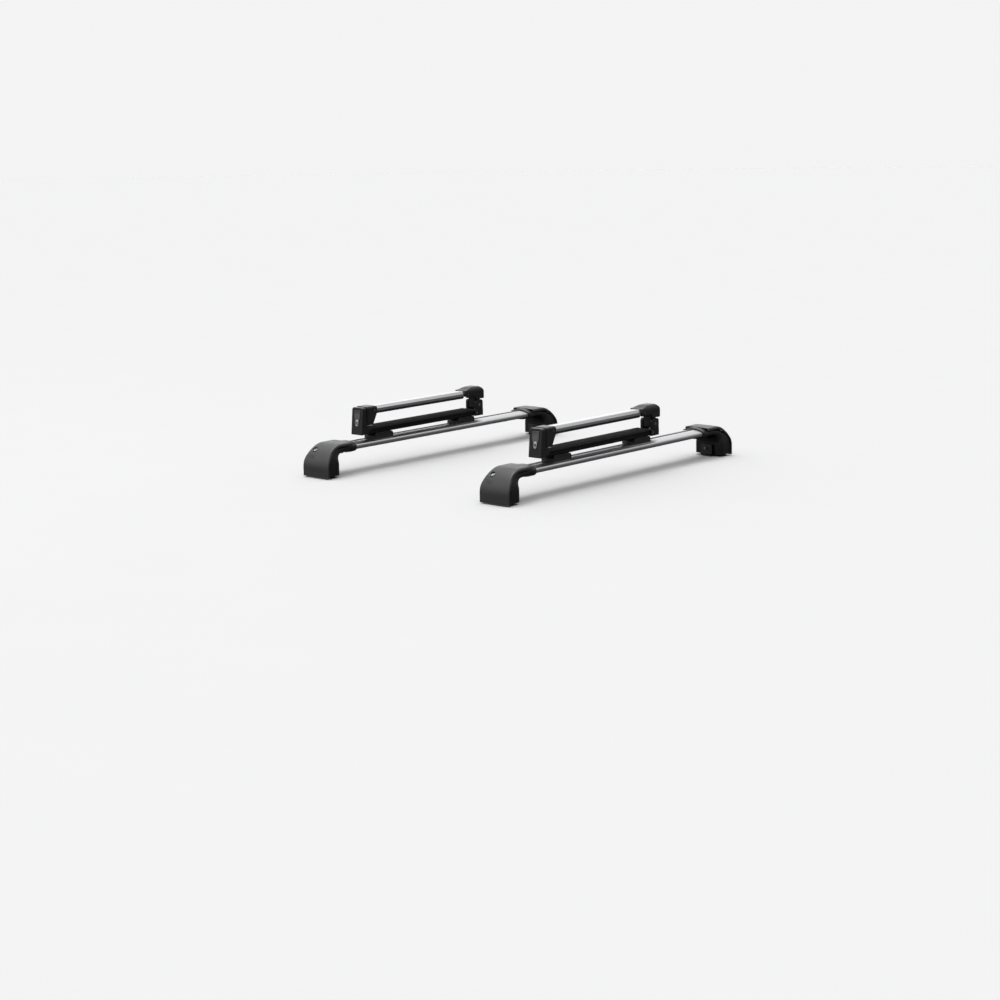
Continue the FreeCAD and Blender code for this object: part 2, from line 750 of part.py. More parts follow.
def button_outline(inset):
    """The button's outline on the tower's face: straight at the top, narrowing to the lock."""
    low, knee, top = 141 + inset, 170, 196 - inset
    wide, slim = 14 - inset, 7.5 - inset
    return [(-slim, low), (slim, low), (wide, knee), (wide, top), (-wide, top), (-wide, knee)]


def make_lock_housing(label, side):
    """The tower on the lower arm's near end, hollow for the button, its spring and the lock.

    A wedge behind it straddles the arm, and a tongue goes inside the arm."""
    body = new_body(label)
    back = tower_near + 23.5
    pad(body, "YZ", [[(tower_near, tower_low), (back, tower_low), (back, dims.tower_top),
                      (face_along(dims.tower_top), dims.tower_top)]], -half_clamp, half_clamp)
    round_edges(body, 2, lambda middle, edge: abs(edge.Length - 2 * half_clamp.value) < 0.1
                and middle.z > dims.tower_top.value - 1)
    cavity = [(face_along(dims.lock_high, -3.5) - 1, 126), (back - 3, 126), (back - 3, 198),
              (face_along(as_size(198), -3.5), 198)]
    pocket(body, "YZ", [cavity], -17, 17)
    pocket(body, "XZ", [button_outline(0)], tower_near - 3, back - 9)
    pocket(body, "XZ", [rectangle(-6.6, 171, 6.6, 179)], back - 5, back + 1)
    wedge = [(back - 0.5, tower_low), (back + 4.5, tower_low), (back + 30, 139),
             (back + 30, wedge_top), (back - 0.5, wedge_top)]
    pad(body, "YZ", [wedge], -half_clamp, half_clamp)
    half = dims.arm_wide / 2
    pocket(body, "XZ", [rectangle(-half, tower_low - 1, half, arm_top)], back, back + 31)
    half = half - dims.arm_wall - 0.1
    tongue = rectangle(-half, dims.arm_low + dims.arm_wall, half, arm_top - dims.arm_wall)
    pad(body, "XZ", [tongue], back - 0.5, back + 24.5)
    keep(place(body, side))


def make_push_button(label, side):
    """The button: a leaning shield-shaped plate with a skirt, bored for the lock."""
    body = new_body(label)
    back = tower_near + 12
    low, top = as_size(140), as_size(197)
    pad(body, "YZ", [[(face_along(low, 1.2), low), (back, low), (back, top),
                      (face_along(top, 1.2), top)]], -16, 16)
    pocket(body, "XZ", all_but(button_outline(0.4)), tower_near - 3, back + 1)
    pocket(body, "XZ", [("circle", 0, dims.lock_high, 5.05)], tower_near - 3, back + 1)
    pocket(body, "XZ", [("circle", 0, SPRING_HIGH, 5)], back - 3, back + 1)
    keep(place(body, side))


def make_latch_bolt(label, side):
    """The sliding bolt behind the button, with a rising nose that holds the upper arm."""
    body = new_body(label)
    start, end = tower_near + 12, tower_near + 38
    nose = [(start, 172.5), (end, 172.5), (end - 2, 176), (end - 7, 178), (start, 178)]
    pad(body, "YZ", [nose], -6, 6)
    keep(place(body, side))


def make_latch_head(label, side):
    """The wedge on the upper arm's near end, with a channel for the latch bolt."""
    body = new_body(label)
    near = -dims.clamp_near + 27
    top = upper_arm_top + 2
    low = wedge_top + 2
    wedge = [(near, low), (near + 27, low), (near + 31, low + 7), (near + 36, low + 18),
             (near + 43, upper_arm_low - 5), (near + 46, upper_arm_low - 2.5), (near + 46, top),
             (near, top)]
    pad(body, "YZ", [wedge], -half_clamp, half_clamp)
    pocket(body, "XZ", [arm_outline()], upper_arm_near, near + 47)
    pocket(body, "YZ", [rectangle(near - 1, low - 1, near + 20, 183)], -8, 8)
    side_screw_holes(body, *latch_screw_place)
    keep(place(body, side))


def make_lock_cylinder(label, side):
    """The lock's core in the button, with a key slot across its face."""
    high = dims.lock_high
    start = face_along(high, 1.8)
    core = rod(f"{label}_core", 5, (as_size(0), start, high), Y_AXIS, 13)
    slot = box(f"{label}_slot", (as_size(-0.7), start - 1, high - 3), (0.7, start + 3, high + 3))
    keep(place(cut(label, core, slot), side))


def make_button_spring(label, side):
    """The folded strip spring that pushes the button back out."""
    body = new_body(label)
    fold_depth = 2
    low, top = SPRING_HIGH - 4, SPRING_HIGH + 4
    start, end = tower_near + 9, tower_near + 20.5
    folds = 4
    upper_side, under_side = [], []
    for fold in range(folds + 1):
        along = start + (end - start) * (fold / folds)
        level = low if fold % 2 == 0 else top - fold_depth
        upper_side.append((along, level + fold_depth))
        under_side.append((along, level))
    pad(body, "YZ", [under_side + upper_side[::-1]], -3, 3)
    keep(place(body, side))


# ---------------------------------------------------------------- clamp fastenings

def make_shoe(label, middle):
    """One bevelled block between the bar and the lower arm, hollowed to sit on the bar."""
    body = new_body(label)
    low, top = bar_top - 5, dims.arm_low
    half = dims.shoe_long / 2
    end_rise = 6
    side = [(middle - half, low), (middle + half, low), (middle + half, top - end_rise),
            (middle + half - end_rise, top), (middle - half + end_rise, top),
            (middle - half, top - end_rise)]
    pad(body, "YZ", [side], -25, 25)
    pocket(body, "XZ", [oval(as_size(0))], middle - half - 1, middle + half + 1)
    pocket(body, "XY", [("circle", 0, middle, 4.2)], low - 1, top + 1)
    return body


def slot_bolt(label, middle):
    """A flat-headed bolt held in the bar's T-slot, and the nut inside the lower arm."""
    head = box(f"{label}_head", (as_size(-11), middle - 12, bar_top - 8),
               (11, middle + 12, bar_top - 3.2))
    shank = rod(f"{label}_shank", 4, (as_size(0), middle, bar_top - 4), Z_AXIS,
                dims.arm_low + 10 - bar_top + 4)
    bolt = combine("Part::MultiFuse", f"{label}_bolt", [head, shank])
    blank = hexagon(f"{label}_blank", 13, (as_size(0), middle, dims.arm_low + dims.arm_wall),
                    Z_AXIS, 6.5)
    bore = rod(f"{label}_bore", 4.02, (as_size(0), middle, dims.arm_low), Z_AXIS, 12)
    return [bolt, cut(f"{label}_nut", blank, bore)]


def side_screw_holes(body, along, high, seat):
    """A counterbored hole through each side wall; seat is how far out the screw heads sit."""
    pocket(body, "YZ", [("circle", along, high, SCREW_SHAFT)], -half_clamp - 1, half_clamp + 1)
    for low, top in ((seat, half_clamp + 1), (-half_clamp - 1, -seat)):
        pocket(body, "YZ", [("circle", along, high, SCREW_HEAD + 0.1)], low, top)


def side_screws(label, along, high, seat, inner):
    """The two screws in such holes, each from its seat in to the arm's wall."""
    screws = []
    for name, out in (("right", X_AXIS), ("left", -X_AXIS)):
        seat_point = (as_size(seat * out.x), along, as_size(high))
        inner_point = (as_size(inner * out.x), along, as_size(high))
        head = rod(f"{label}_{name}_head", SCREW_HEAD, seat_point, out, 1.4)
        shaft = rod(f"{label}_{name}_shaft", SCREW_SHAFT, inner_point, out, seat - inner + 0.5)
        socket = hexagon(f"{label}_{name}_socket", 2.5, seat_point, out, 3)
        whole = combine("Part::MultiFuse", f"{label}_{name}_whole", [head, shaft])
        screws.append(cut(f"{label}_{name}_screw", whole, socket))
    return combine("Part::Compound", f"{label}_pair", screws)


def upper_arm_screws(label):
    """The four screws that hold the latch head and the hinge head on the upper arm."""
    pairs = [side_screws(f"{label}_latch", *latch_screw_place, 20),
             side_screws(f"{label}_head", *head_screw_place, 20)]
    return combine("Part::Compound", f"{label}_set", pairs)


def both_shoes(label):
    shoes = [make_shoe(f"{label}_{number}", middle) for number, middle in enumerate(shoe_middles)]
    return combine("Part::Compound", f"{label}_pair", shoes)


def both_slot_bolts(label):
    pieces = []
    for number, middle in enumerate(shoe_middles):
        pieces += slot_bolt(f"{label}_{number}", middle)
    return combine("Part::Compound", f"{label}_pair", pieces)


# ---------------------------------------------------------------- building every node

for foot, (bar_side, turned) in FEET.items():
    make_foot_body(f"{foot}_foot_body", bar_side, turned)
    make_foot_pad(f"{foot}_foot_pad", bar_side, turned)
    make_foot_cover(f"{foot}_foot_cover", bar_side, turned)
    make_foot_lock(f"{foot}_foot_lock", bar_side, turned)
    make_foot_claw(f"{foot}_foot_claw", bar_side, turned)
    make_foot_bolt(f"{foot}_foot_bolt", bar_side, turned)

lower_pad_levels = (arm_top, lower_pad_top)
upper_pad_levels = (upper_arm_low, upper_pad_low)
lower_pad_ends = (-dims.clamp_near + 56, dims.hinge_along - 40)
upper_pad_ends = (-dims.clamp_near + 74, dims.hinge_along - 72)

for clamp, bar_side in CLAMPS.items():
    make_bar(f"{clamp}_bar", bar_side)
    make_lower_arm(f"{clamp}_lower_arm", bar_side)
    make_upper_arm(f"{clamp}_upper_arm", bar_side)
    make_ski_pad(f"{clamp}_lower_pad", bar_side, lower_pad_levels, lower_pad_ends)
    make_ski_pad(f"{clamp}_upper_pad", bar_side, upper_pad_levels, upper_pad_ends)
    make_hinge_base(f"{clamp}_hinge_base", bar_side)
    make_hinge_head(f"{clamp}_hinge_head", bar_side)
    make_lock_housing(f"{clamp}_lock_housing", bar_side)
    make_push_button(f"{clamp}_push_button", bar_side)
    make_button_spring(f"{clamp}_button_spring", bar_side)
    make_latch_bolt(f"{clamp}_latch_bolt", bar_side)
    make_latch_head(f"{clamp}_latch_head", bar_side)
    make_lock_cylinder(f"{clamp}_lock_cylinder", bar_side)
    place_group(f"{clamp}_upper_arm_screws", upper_arm_screws, [(bar_side, 0)])

both_bars = [(bar_side, 0) for bar_side in CLAMPS.values()]
make_slot_strips()
place_group("cover_hinge_pins", cover_pin_pair, FEET.values())
place_group("foot_screws", foot_screw_pair, FEET.values())
place_group("mount_shoes", both_shoes, both_bars)
place_group("slot_bolts", both_slot_bolts, both_bars)
place_group("hinge_pins", hinge_pin, both_bars)
place_group("lower_arm_screws", lambda label: side_screws(label, *base_screw_place, 21), both_bars)


# ---------------------------------------------------------------- checking and writing

doc.recompute()
for thing in doc.Objects:
    if "Invalid" in thing.State or "Error" in thing.State:
        raise RuntimeError(f"{thing.Label} did not compute: {thing.State}")
for label, piece in nodes.items():
    if piece.Shape.isNull() or not piece.Shape.isValid() or not piece.Shape.Solids:
        raise RuntimeError(f"{label} has no sound solid")

os.makedirs("parts", exist_ok=True)
for label, piece in nodes.items():
    piece.Shape.exportStep(f"parts/{label}.step")
print(f"{len(nodes)} nodes, {sum(len(piece.Shape.Solids) for piece in nodes.values())} solids")
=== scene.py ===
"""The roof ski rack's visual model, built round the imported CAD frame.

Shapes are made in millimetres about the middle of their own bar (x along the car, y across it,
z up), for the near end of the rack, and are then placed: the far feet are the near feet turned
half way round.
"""

import json
import math

import bmesh
import bpy
from mathutils import Matrix, Vector


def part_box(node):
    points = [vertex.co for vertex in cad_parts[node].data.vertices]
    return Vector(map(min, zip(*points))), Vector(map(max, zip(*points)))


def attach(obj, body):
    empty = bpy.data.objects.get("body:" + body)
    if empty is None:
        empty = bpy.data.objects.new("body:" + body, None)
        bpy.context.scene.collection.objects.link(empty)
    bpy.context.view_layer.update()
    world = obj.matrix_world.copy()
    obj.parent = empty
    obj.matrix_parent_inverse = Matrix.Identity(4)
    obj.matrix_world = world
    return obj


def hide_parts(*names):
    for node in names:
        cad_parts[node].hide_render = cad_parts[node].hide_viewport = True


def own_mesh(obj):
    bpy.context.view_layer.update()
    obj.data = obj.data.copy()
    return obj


MM = 0.001
CLAMPS = ("front", "rear")
FEET = {
    "front_near": ("front", False),
    "rear_near": ("rear", False),
    "front_far": ("front", True),
    "rear_far": ("rear", True),
}

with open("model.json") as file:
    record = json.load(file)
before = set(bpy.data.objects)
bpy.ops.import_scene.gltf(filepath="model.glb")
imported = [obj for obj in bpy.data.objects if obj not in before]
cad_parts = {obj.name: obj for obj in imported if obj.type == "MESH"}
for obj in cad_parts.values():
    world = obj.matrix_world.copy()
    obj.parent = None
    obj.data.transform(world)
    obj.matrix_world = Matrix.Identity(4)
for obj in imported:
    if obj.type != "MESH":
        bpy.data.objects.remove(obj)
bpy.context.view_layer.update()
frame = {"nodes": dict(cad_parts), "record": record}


# ---------------------------------------------------------------- materials


def new_material(name):
    """A material with a cleared tree: its nodes, its links, its shader and its object coordinates."""
    material = bpy.data.materials.new(name)
    material.use_nodes = True
    tree = material.node_tree
    tree.nodes.clear()
    output = tree.nodes.new("ShaderNodeOutputMaterial")
    shader = tree.nodes.new("ShaderNodeBsdfPrincipled")
    tree.links.new(shader.outputs[0], output.inputs[0])
    where = tree.nodes.new("ShaderNodeTexCoord").outputs["Object"]
    return material, tree, shader, where


def noise(tree, where, scale, detail=3.0, stretch=None, rough=0.55):
    """A noise texture's value. The scale counts features to a metre."""
    if stretch:
        mapping = tree.nodes.new("ShaderNodeMapping")
        mapping.inputs["Scale"].default_value = stretch
        tree.links.new(where, mapping.inputs["Vector"])
        where = mapping.outputs[0]
    node = tree.nodes.new("ShaderNodeTexNoise")
    node.inputs["Scale"].default_value = scale
    node.inputs["Detail"].default_value = detail
    node.inputs["Roughness"].default_value = rough
    tree.links.new(where, node.inputs["Vector"])
    return node.outputs["Fac"]


def remap(tree, value, low, high, to_low, to_high):
    """Carries the range low to high over to another range, held at its ends."""
    node = tree.nodes.new("ShaderNodeMapRange")
    for socket, number in zip(node.inputs[1:5], (low, high, to_low, to_high)):
        socket.default_value = number
    tree.links.new(value, node.inputs[0])
    return node.outputs[0]


def mix_colours(tree, value, first, second):
    """The first colour where value is 0, the second where it is 1."""
    node = tree.nodes.new("ShaderNodeMix")
    node.data_type = "RGBA"
    for socket, colour in ((node.inputs["A"], first), (node.inputs["B"], second)):
        if isinstance(colour, bpy.types.NodeSocket):
            tree.links.new(colour, socket)
        else:
            socket.default_value = (*colour, 1.0)
    tree.links.new(value, node.inputs["Factor"])
    return node.outputs["Result"]


def bump(tree, shader, height, strength, depth, edge):
    """Bumps the surface by a height, over edges rounded in the shading. Lengths are in metres."""
    node = tree.nodes.new("ShaderNodeBump")
    node.inputs["Strength"].default_value = strength
    node.inputs["Distance"].default_value = depth
    tree.links.new(height, node.inputs["Height"])
    bevel = tree.nodes.new("ShaderNodeBevel")
    bevel.samples = 4
    bevel.inputs["Radius"].default_value = edge
    tree.links.new(bevel.outputs[0], node.inputs["Normal"])
    tree.links.new(node.outputs[0], shader.inputs["Normal"])


def edge_wear(tree):
    """How far a point stands out, as along a worn edge: 0 on flat faces, 0.6 at most."""
    geometry = tree.nodes.new("ShaderNodeNewGeometry")
    return remap(tree, geometry.outputs["Pointiness"], 0.515, 0.58, 0.0, 0.6)


def plastic(name, dark, light, worn, roughness, gloss, grain=2600.0, depth=0.00012):
    """Moulded plastic: a fine spark-eroded grain, faint flow marks and paler worn edges."""
    material, tree, shader, where = new_material(name)
    flow = noise(tree, where, 9.0, 4.0, (1.0, 0.5, 1.6))
    colour = mix_colours(tree, remap(tree, flow, 0.3, 0.7, 0.0, 1.0), dark, light)
    colour = mix_colours(tree, edge_wear(tree), colour, worn)
    tree.links.new(colour, shader.inputs["Base Color"])
    handled = noise(tree, where, 38.0, 5.0)
    tree.links.new(
        remap(tree, handled, 0.3, 0.7, roughness - 0.06, roughness + 0.07),
        shader.inputs["Roughness"],
    )
    bump(tree, shader, noise(tree, where, grain, 2.0), 0.35, depth, 0.0007)
    shader.inputs["Specular IOR Level"].default_value = gloss
    return material


def extruded(name, dark, light, roughness):
    """Anodised extrusion: die lines that run its whole length, along y."""
    material, tree, shader, where = new_material(name)
    lines = noise(tree, where, 1.0, 4.0, (1500.0, 2.5, 1500.0))
    broad = noise(tree, where, 1.0, 3.0, (160.0, 1.1, 160.0))
    colour = mix_colours(tree, remap(tree, lines, 0.35, 0.65, 0.0, 1.0), dark, light)
    tree.links.new(colour, shader.inputs["Base Color"])
    tree.links.new(
        remap(tree, broad, 0.3, 0.7, roughness - 0.05, roughness + 0.05),
        shader.inputs["Roughness"],
    )
    shader.inputs["Metallic"].default_value = 1.0
    shader.inputs["Anisotropic"].default_value = 0.45
    bump(tree, shader, lines, 0.12, 0.00006, 0.0005)
    return material


def rubber(name, dark, light):
    """Moulded rubber: matt, with patches of pale dust and a fine pebble."""
    roughness = 0.72
    material, tree, shader, where = new_material(name)
    dust = noise(tree, where, 60.0, 6.0, None, 0.7)
    colour = mix_colours(tree, remap(tree, dust, 0.42, 0.72, 0.0, 1.0), dark, light)
    tree.links.new(colour, shader.inputs["Base Color"])
    tree.links.new(
        remap(tree, noise(tree, where, 24.0), 0.3, 0.7, roughness - 0.08, roughness + 0.1),
        shader.inputs["Roughness"],
    )
    shader.inputs["Sheen Weight"].default_value = 0.12
    shader.inputs["Sheen Roughness"].default_value = 0.5
    bump(tree, shader, noise(tree, where, 1900.0, 3.0), 0.4, 0.00015, 0.0005)
    return material


def metal(name, dark, light, roughness, grain=420.0, coated=False):
    """Plated or coated steel: cloudy plating with small scratches."""
    material, tree, shader, where = new_material(name)
    cloud = noise(tree, where, grain, 5.0)
    colour = mix_colours(tree, remap(tree, cloud, 0.3, 0.7, 0.0, 1.0), dark, light)
    tree.links.new(colour, shader.inputs["Base Color"])
    scratch = noise(tree, where, 700.0, 3.0, (1.0, 6.0, 1.0))
    tree.links.new(
        remap(tree, scratch, 0.3, 0.7, roughness - 0.06, roughness + 0.1),
        shader.inputs["Roughness"],
    )
    shader.inputs["Metallic"].default_value = 0.0 if coated else 1.0
    if coated:
        shader.inputs["Coat Weight"].default_value = 0.25
        shader.inputs["Coat Roughness"].default_value = 0.35
    bump(tree, shader, scratch, 0.15, 0.00006, 0.0004)
    return material


def grey(level, blue=0.04):
    """A grey that leans faintly towards blue."""
    return (level, level, level * (1 + blue))


LOOKS = {
    "bar_aluminium": extruded("bar_satin", grey(0.50, 0.02), grey(0.60, 0.02), 0.3),
    "arm_aluminium": extruded("arm_brushed", grey(0.54, 0.02), grey(0.66, 0.02), 0.27),
    "dark_aluminium": extruded("arm_black", grey(0.016), grey(0.034), 0.36),
    "strip_rubber": rubber("strip_rubber", grey(0.004), grey(0.009)),
    "pad_rubber": rubber("pad_rubber", grey(0.006), grey(0.016)),
    "black_plastic": plastic(
        "black_plastic", grey(0.007), grey(0.011), worn=grey(0.045), roughness=0.31, gloss=0.42
    ),
    "black_nylon": plastic(
        "black_nylon",
        grey(0.006),
        grey(0.011),
        worn=grey(0.035),
        roughness=0.33,
        gloss=0.42,
        grain=1500.0,
        depth=0.00018,
    ),
    "grey_cover": plastic(
        "grey_cover",
        grey(0.029),
        grey(0.041),
        worn=grey(0.12),
        roughness=0.42,
        gloss=0.5,
        grain=2300.0,
        depth=0.00016,
    ),
    "button_plastic": plastic(
        "button_plastic", grey(0.075), grey(0.1), worn=grey(0.2), roughness=0.36, gloss=0.45
    ),
    "black_steel": metal("black_steel", grey(0.009), grey(0.022), 0.4, grain=300.0, coated=True),
    "zinc_steel": metal("zinc_steel", grey(0.26, 0.02), grey(0.36, 0.02), 0.36),
    "lock_metal": metal("lock_metal", grey(0.46, 0.0), grey(0.56, 0.0), 0.27, grain=260.0),
}


# ---------------------------------------------------------------- sizes in mm, angles in degrees

BAR_MIDDLE = 85.5
BAR_HALF_HEIGHT = 13.5

COVER_FACE = -572.0
COVER_TOP = 105.0
COVER_END = -448.0
COVER_ROUND = 75.0
COVER_HALF_WIDTH = 57.5
COVER_BOTTOM = 1.5
COVER_WALL = 2.5
ROUND_MIDDLE = Vector((COVER_FACE + COVER_ROUND, COVER_TOP - COVER_ROUND))

LEG_FACE = -566.0
LEG_BACK = -512.0
LEG_BOTTOM = 7.0
UNDER_ROUND = 24.0
SLEEVE_WALL = 3.0
SLEEVE_TOP = BAR_MIDDLE + BAR_HALF_HEIGHT + SLEEVE_WALL
SLEEVE_BOTTOM = BAR_MIDDLE - BAR_HALF_HEIGHT - SLEEVE_WALL
CLAW_BOLT_HEIGHT = 28.0
LOCK_TILT = 50.0
LOCK_OFF_MIDDLE = -26.0
BEZEL_BORE = 7.5

LOWER_ARM_BOTTOM, LOWER_ARM_TOP = 115.0, 132.0
LOWER_ARM_HALF_WIDTH = 21.0
LOWER_ARM_END = 186.0
UPPER_ARM_BOTTOM, UPPER_ARM_TOP = 186.0, 203.0
UPPER_ARM_HALF_WIDTH = 20.0
UPPER_ARM_ENDS = (-343.5, 149.5)
UPPER_PAD_ENDS = (-311.0, 116.0)
PAD_CRESTS = (140.0, 178.0)
PAD_SUNK = 0.2
SHOE_MIDDLES = {"near": -282.0, "far": 118.0}

END_HALF_WIDTH = 24.5
TOWER_FACE = -385.0
TOWER_BACK = -361.5
TOWER_LEAN = 8.0
BUTTON_PROUD = 1.3
CORE_HEIGHT = 154.0
PIN_PLACE = (188.0, 150.0)
SCREW_HEAD_RADIUS = 3.7
SPRING_NEAR, SPRING_FAR = -376.0, -364.5
SPRING_HEIGHT = 188.0


# ---------------------------------------------------------------- outlines


def spread(low, high, count):
    """Evenly spaced numbers, both ends included."""
    return [low + (high - low) * i / (count - 1) for i in range(count)]


def rounded(corners, steps=7):
    """A closed outline from (a, b, radius) corners, each rounded by its own radius."""
    side_share = 0.495
    sharp = 0.02
    points = []
    for i, (a, b, radius) in enumerate(corners):
        here = Vector((a, b))
        back = Vector(corners[i - 1][:2]) - here
        on = Vector(corners[(i + 1) % len(corners)][:2]) - here
        half = back.angle(on) / 2
        room = side_share * min(back.length, on.length)
        reach = min(radius / math.tan(half), room)
        if reach < sharp:
            points.append(here)
            continue
        back.normalize()
        on.normalize()
        centre = here + (back + on).normalized() * (reach / math.cos(half))
        start = here + back * reach - centre
        end = here + on * reach - centre
        first = math.atan2(start.y, start.x)
        turn = (math.atan2(end.y, end.x) - first + math.pi) % (2 * math.pi) - math.pi
        size = start.length
        points += [
            centre + Vector((math.cos(first + turn * t), math.sin(first + turn * t))) * size
            for t in spread(0, 1, steps)
        ]
    return [tuple(p) for p in points]


def box_outline(a_low, b_low, a_high, b_high, radius=0.0, top=None):
    """A rectangle with rounded corners. The upper two may have a radius of their own."""
    top = radius if top is None else top
    return rounded(
        [(a_low, b_low, radius), (a_high, b_low, radius), (a_high, b_high, top), (a_low, b_high, top)]
    )


def resampled(points, count):
    """The same closed outline as evenly spaced points, from its first one."""
    ring = [Vector(p) for p in points] + [Vector(points[0])]
    lengths = [0.0]
    for a, b in zip(ring, ring[1:]):
        lengths.append(lengths[-1] + (b - a).length)
    out, i = [], 0
    for k in range(count):
        want = lengths[-1] * k / count
        while lengths[i + 1] < want:
            i += 1
        part = (want - lengths[i]) / max(lengths[i + 1] - lengths[i], 1e-9)
        out.append(ring[i].lerp(ring[i + 1], part))
    return out


def oval(offset):
    """The bar's section, grown by offset, from the middle of its top, about its own centre."""
    nose = 8.0 + offset
    reach, half = 32.0, BAR_HALF_HEIGHT + offset
    curve = (reach**2 + half**2 - nose**2) / (2 * (half - nose))
    lean = math.degrees(math.atan2(reach, curve - half))
    points = []
    for sign, middle in ((1, 90), (-1, -90)):
        centre = (0.0, sign * (half - curve))
        for degrees in spread(lean, -lean, 15) if sign > 0 else spread(-lean, lean, 15)[::-1]:
            angle = math.radians(middle + degrees)
            points.append(
                (centre[0] + curve * math.cos(angle), centre[1] + curve * math.sin(angle))
            )
        side = 1 if sign > 0 else -1
        start = 90 - lean if sign > 0 else -90 - lean
        for degrees in spread(start, start - (180 - 2 * lean), 13)[1:-1]:
            angle = math.radians(degrees)
            points.append((side * reach + nose * math.cos(angle), nose * math.sin(angle)))
    upper = [i for i, point in enumerate(points) if point[1] > 0]
    first = min(upper, key=lambda i: abs(points[i][0]))
    return points[first:] + points[:first]


# ---------------------------------------------------------------- solids


def raw_object(name, points, faces):
    """A mesh object with its faces turned outwards."""
    mesh = bpy.data.meshes.new(name)
    mesh.from_pydata([tuple(p) for p in points], [], faces)
    graph = bmesh.new()
    graph.from_mesh(mesh)
    bmesh.ops.recalc_face_normals(graph, faces=graph.faces)
    graph.to_mesh(mesh)
    graph.free()
    piece = bpy.data.objects.new(name, mesh)
    bpy.context.scene.collection.objects.link(piece)
    return piece


def prism(name, outline, plane, low, high):
    """An outline in XZ, YZ or XY drawn out along the third direction."""

    def at(a, b, depth):
        return {"XZ": (a, depth, b), "YZ": (depth, a, b), "XY": (a, b, depth)}[plane]

    count = len(outline)
    points = [at(*p, low) for p in outline] + [at(*p, high) for p in outline]
    faces = [list(range(count))[::-1], list(range(count, 2 * count))]
    faces += [[i, (i + 1) % count, count + (i + 1) % count, count + i] for i in range(count)]
    return raw_object(name, points, faces)


def lathe(name, outline, centre, axis, segments=48):
    """(radius, height) points turned about an axis through centre."""
    turn = Vector((0, 0, 1)).rotation_difference(Vector(axis)).to_matrix()
    points, faces = [], []
    for i in range(segments):
        angle = 2 * math.pi * i / segments
        for radius, height in outline:
            spot = Vector((radius * math.cos(angle), radius * math.sin(angle), height))
            points.append(Vector(centre) + turn @ spot)
    count = len(outline)
    for i in range(segments):
        for k in range(count - 1):
            a, b = i * count + k, ((i + 1) % segments) * count + k
            faces.append([a, b, b + 1, a + 1])
    piece = raw_object(name, points, faces)
    weld(piece)
    return piece


def loft(name, rings, closed_ends=(True, True)):
    """Skins equal rings of points, in order."""
    count = len(rings[0])
    points = [p for ring in rings for p in ring]
    faces = []
    for i in range(len(rings) - 1):
        for k in range(count):
            a, b = i * count + k, i * count + (k + 1) % count
            faces.append([a, b, b + count, a + count])
    if closed_ends[0]:
        faces.append(list(range(count))[::-1])
    if closed_ends[1]:
        faces.append(list(range((len(rings) - 1) * count, len(rings) * count)))
    return raw_object(name, points, faces)


def weld(piece, distance=0.001):
    """Joins points closer than distance and drops what falls flat."""
    graph = bmesh.new()
    graph.from_mesh(piece.data)
    bmesh.ops.remove_doubles(graph, verts=graph.verts, dist=distance)
    bmesh.ops.dissolve_degenerate(graph, edges=graph.edges, dist=distance)
    bmesh.ops.recalc_face_normals(graph, faces=graph.faces)
    graph.to_mesh(piece.data)
    graph.free()


def settle(piece):
    """Applies the piece's modifiers to its mesh."""
    bpy.context.view_layer.update()
    ready = piece.evaluated_get(bpy.context.evaluated_depsgraph_get())
    mesh = bpy.data.meshes.new_from_object(ready)
    old = piece.data
    piece.modifiers.clear()
    piece.data = mesh
    bpy.data.meshes.remove(old)
    return piece


def soften(piece, width, segments=3, angle=32.0):
    """Rounds the edges sharper than angle."""
    modifier = piece.modifiers.new("edges", "BEVEL")
    modifier.width = width
    modifier.segments = segments
    modifier.limit_method = "ANGLE"
    modifier.angle_limit = math.radians(angle)
    modifier.use_clamp_overlap = True
    return settle(piece)


def combine(piece, other, operation):
    """Joins, cuts or trims the piece by the other, which is used up."""
    modifier = piece.modifiers.new("solid", "BOOLEAN")
    modifier.operation = operation
    modifier.solver = "EXACT"
    modifier.object = other
    settle(piece)
    bpy.data.objects.remove(other)
    return piece


def cut(piece, *others):
    for other in others:
        combine(piece, other, "DIFFERENCE")
    return piece


def add(piece, *others):
    for other in others:
        combine(piece, other, "UNION")
    return piece


def common(piece, other):
    return combine(piece, other, "INTERSECT")


def drill(piece, centre, axis, radius, depth, segments=32):
    """Cuts a round hole that starts at centre and runs along axis."""
    outline = [(0, 0), (radius, 0), (radius, depth), (0, depth)]
    return cut(piece, lathe("tool", outline, centre, axis, segments))


def placed(piece, name, clamp, turned, body, slot, nodes=(), flat_angle=38.0):
    """Puts a piece made in millimetres about its bar into the row frame, with its finish."""
    low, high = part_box(f"{clamp}_bar")
    middle = (low + high) / 2
    place = Matrix.Translation((middle.x, middle.y, 0.0))
    if turned:
        place = place @ Matrix.Rotation(math.pi, 4, "Z")
    piece.data.transform(place @ Matrix.Scale(MM, 4))
    piece.name = name
    piece.data.name = name
    piece.data.shade_smooth()
    piece.data.set_sharp_from_angle(angle=math.radians(flat_angle))
    piece.data.materials.clear()
    piece.data.materials.append(LOOKS[slot])
    modifier = piece.modifiers.new("faces", "WEIGHTED_NORMAL")
    modifier.keep_sharp = True
    modifier.weight = 60
    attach(piece, body)
    if nodes:
        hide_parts(*nodes)
    return piece


# ---------------------------------------------------------------- feet


def smooth(t):
    """Rises from 0 to 1 as t does, level at both ends."""
    t = min(1.0, max(0.0, t))
    return t * t * (3 - 2 * t)


def on_round(inset, degrees):
    """A point on the foot's outer round, so far inside the cover's face: (y, z)."""
    a = math.radians(degrees)
    reach = COVER_ROUND - inset
    return ROUND_MIDDLE.x - reach * math.cos(a), ROUND_MIDDLE.y + reach * math.sin(a)


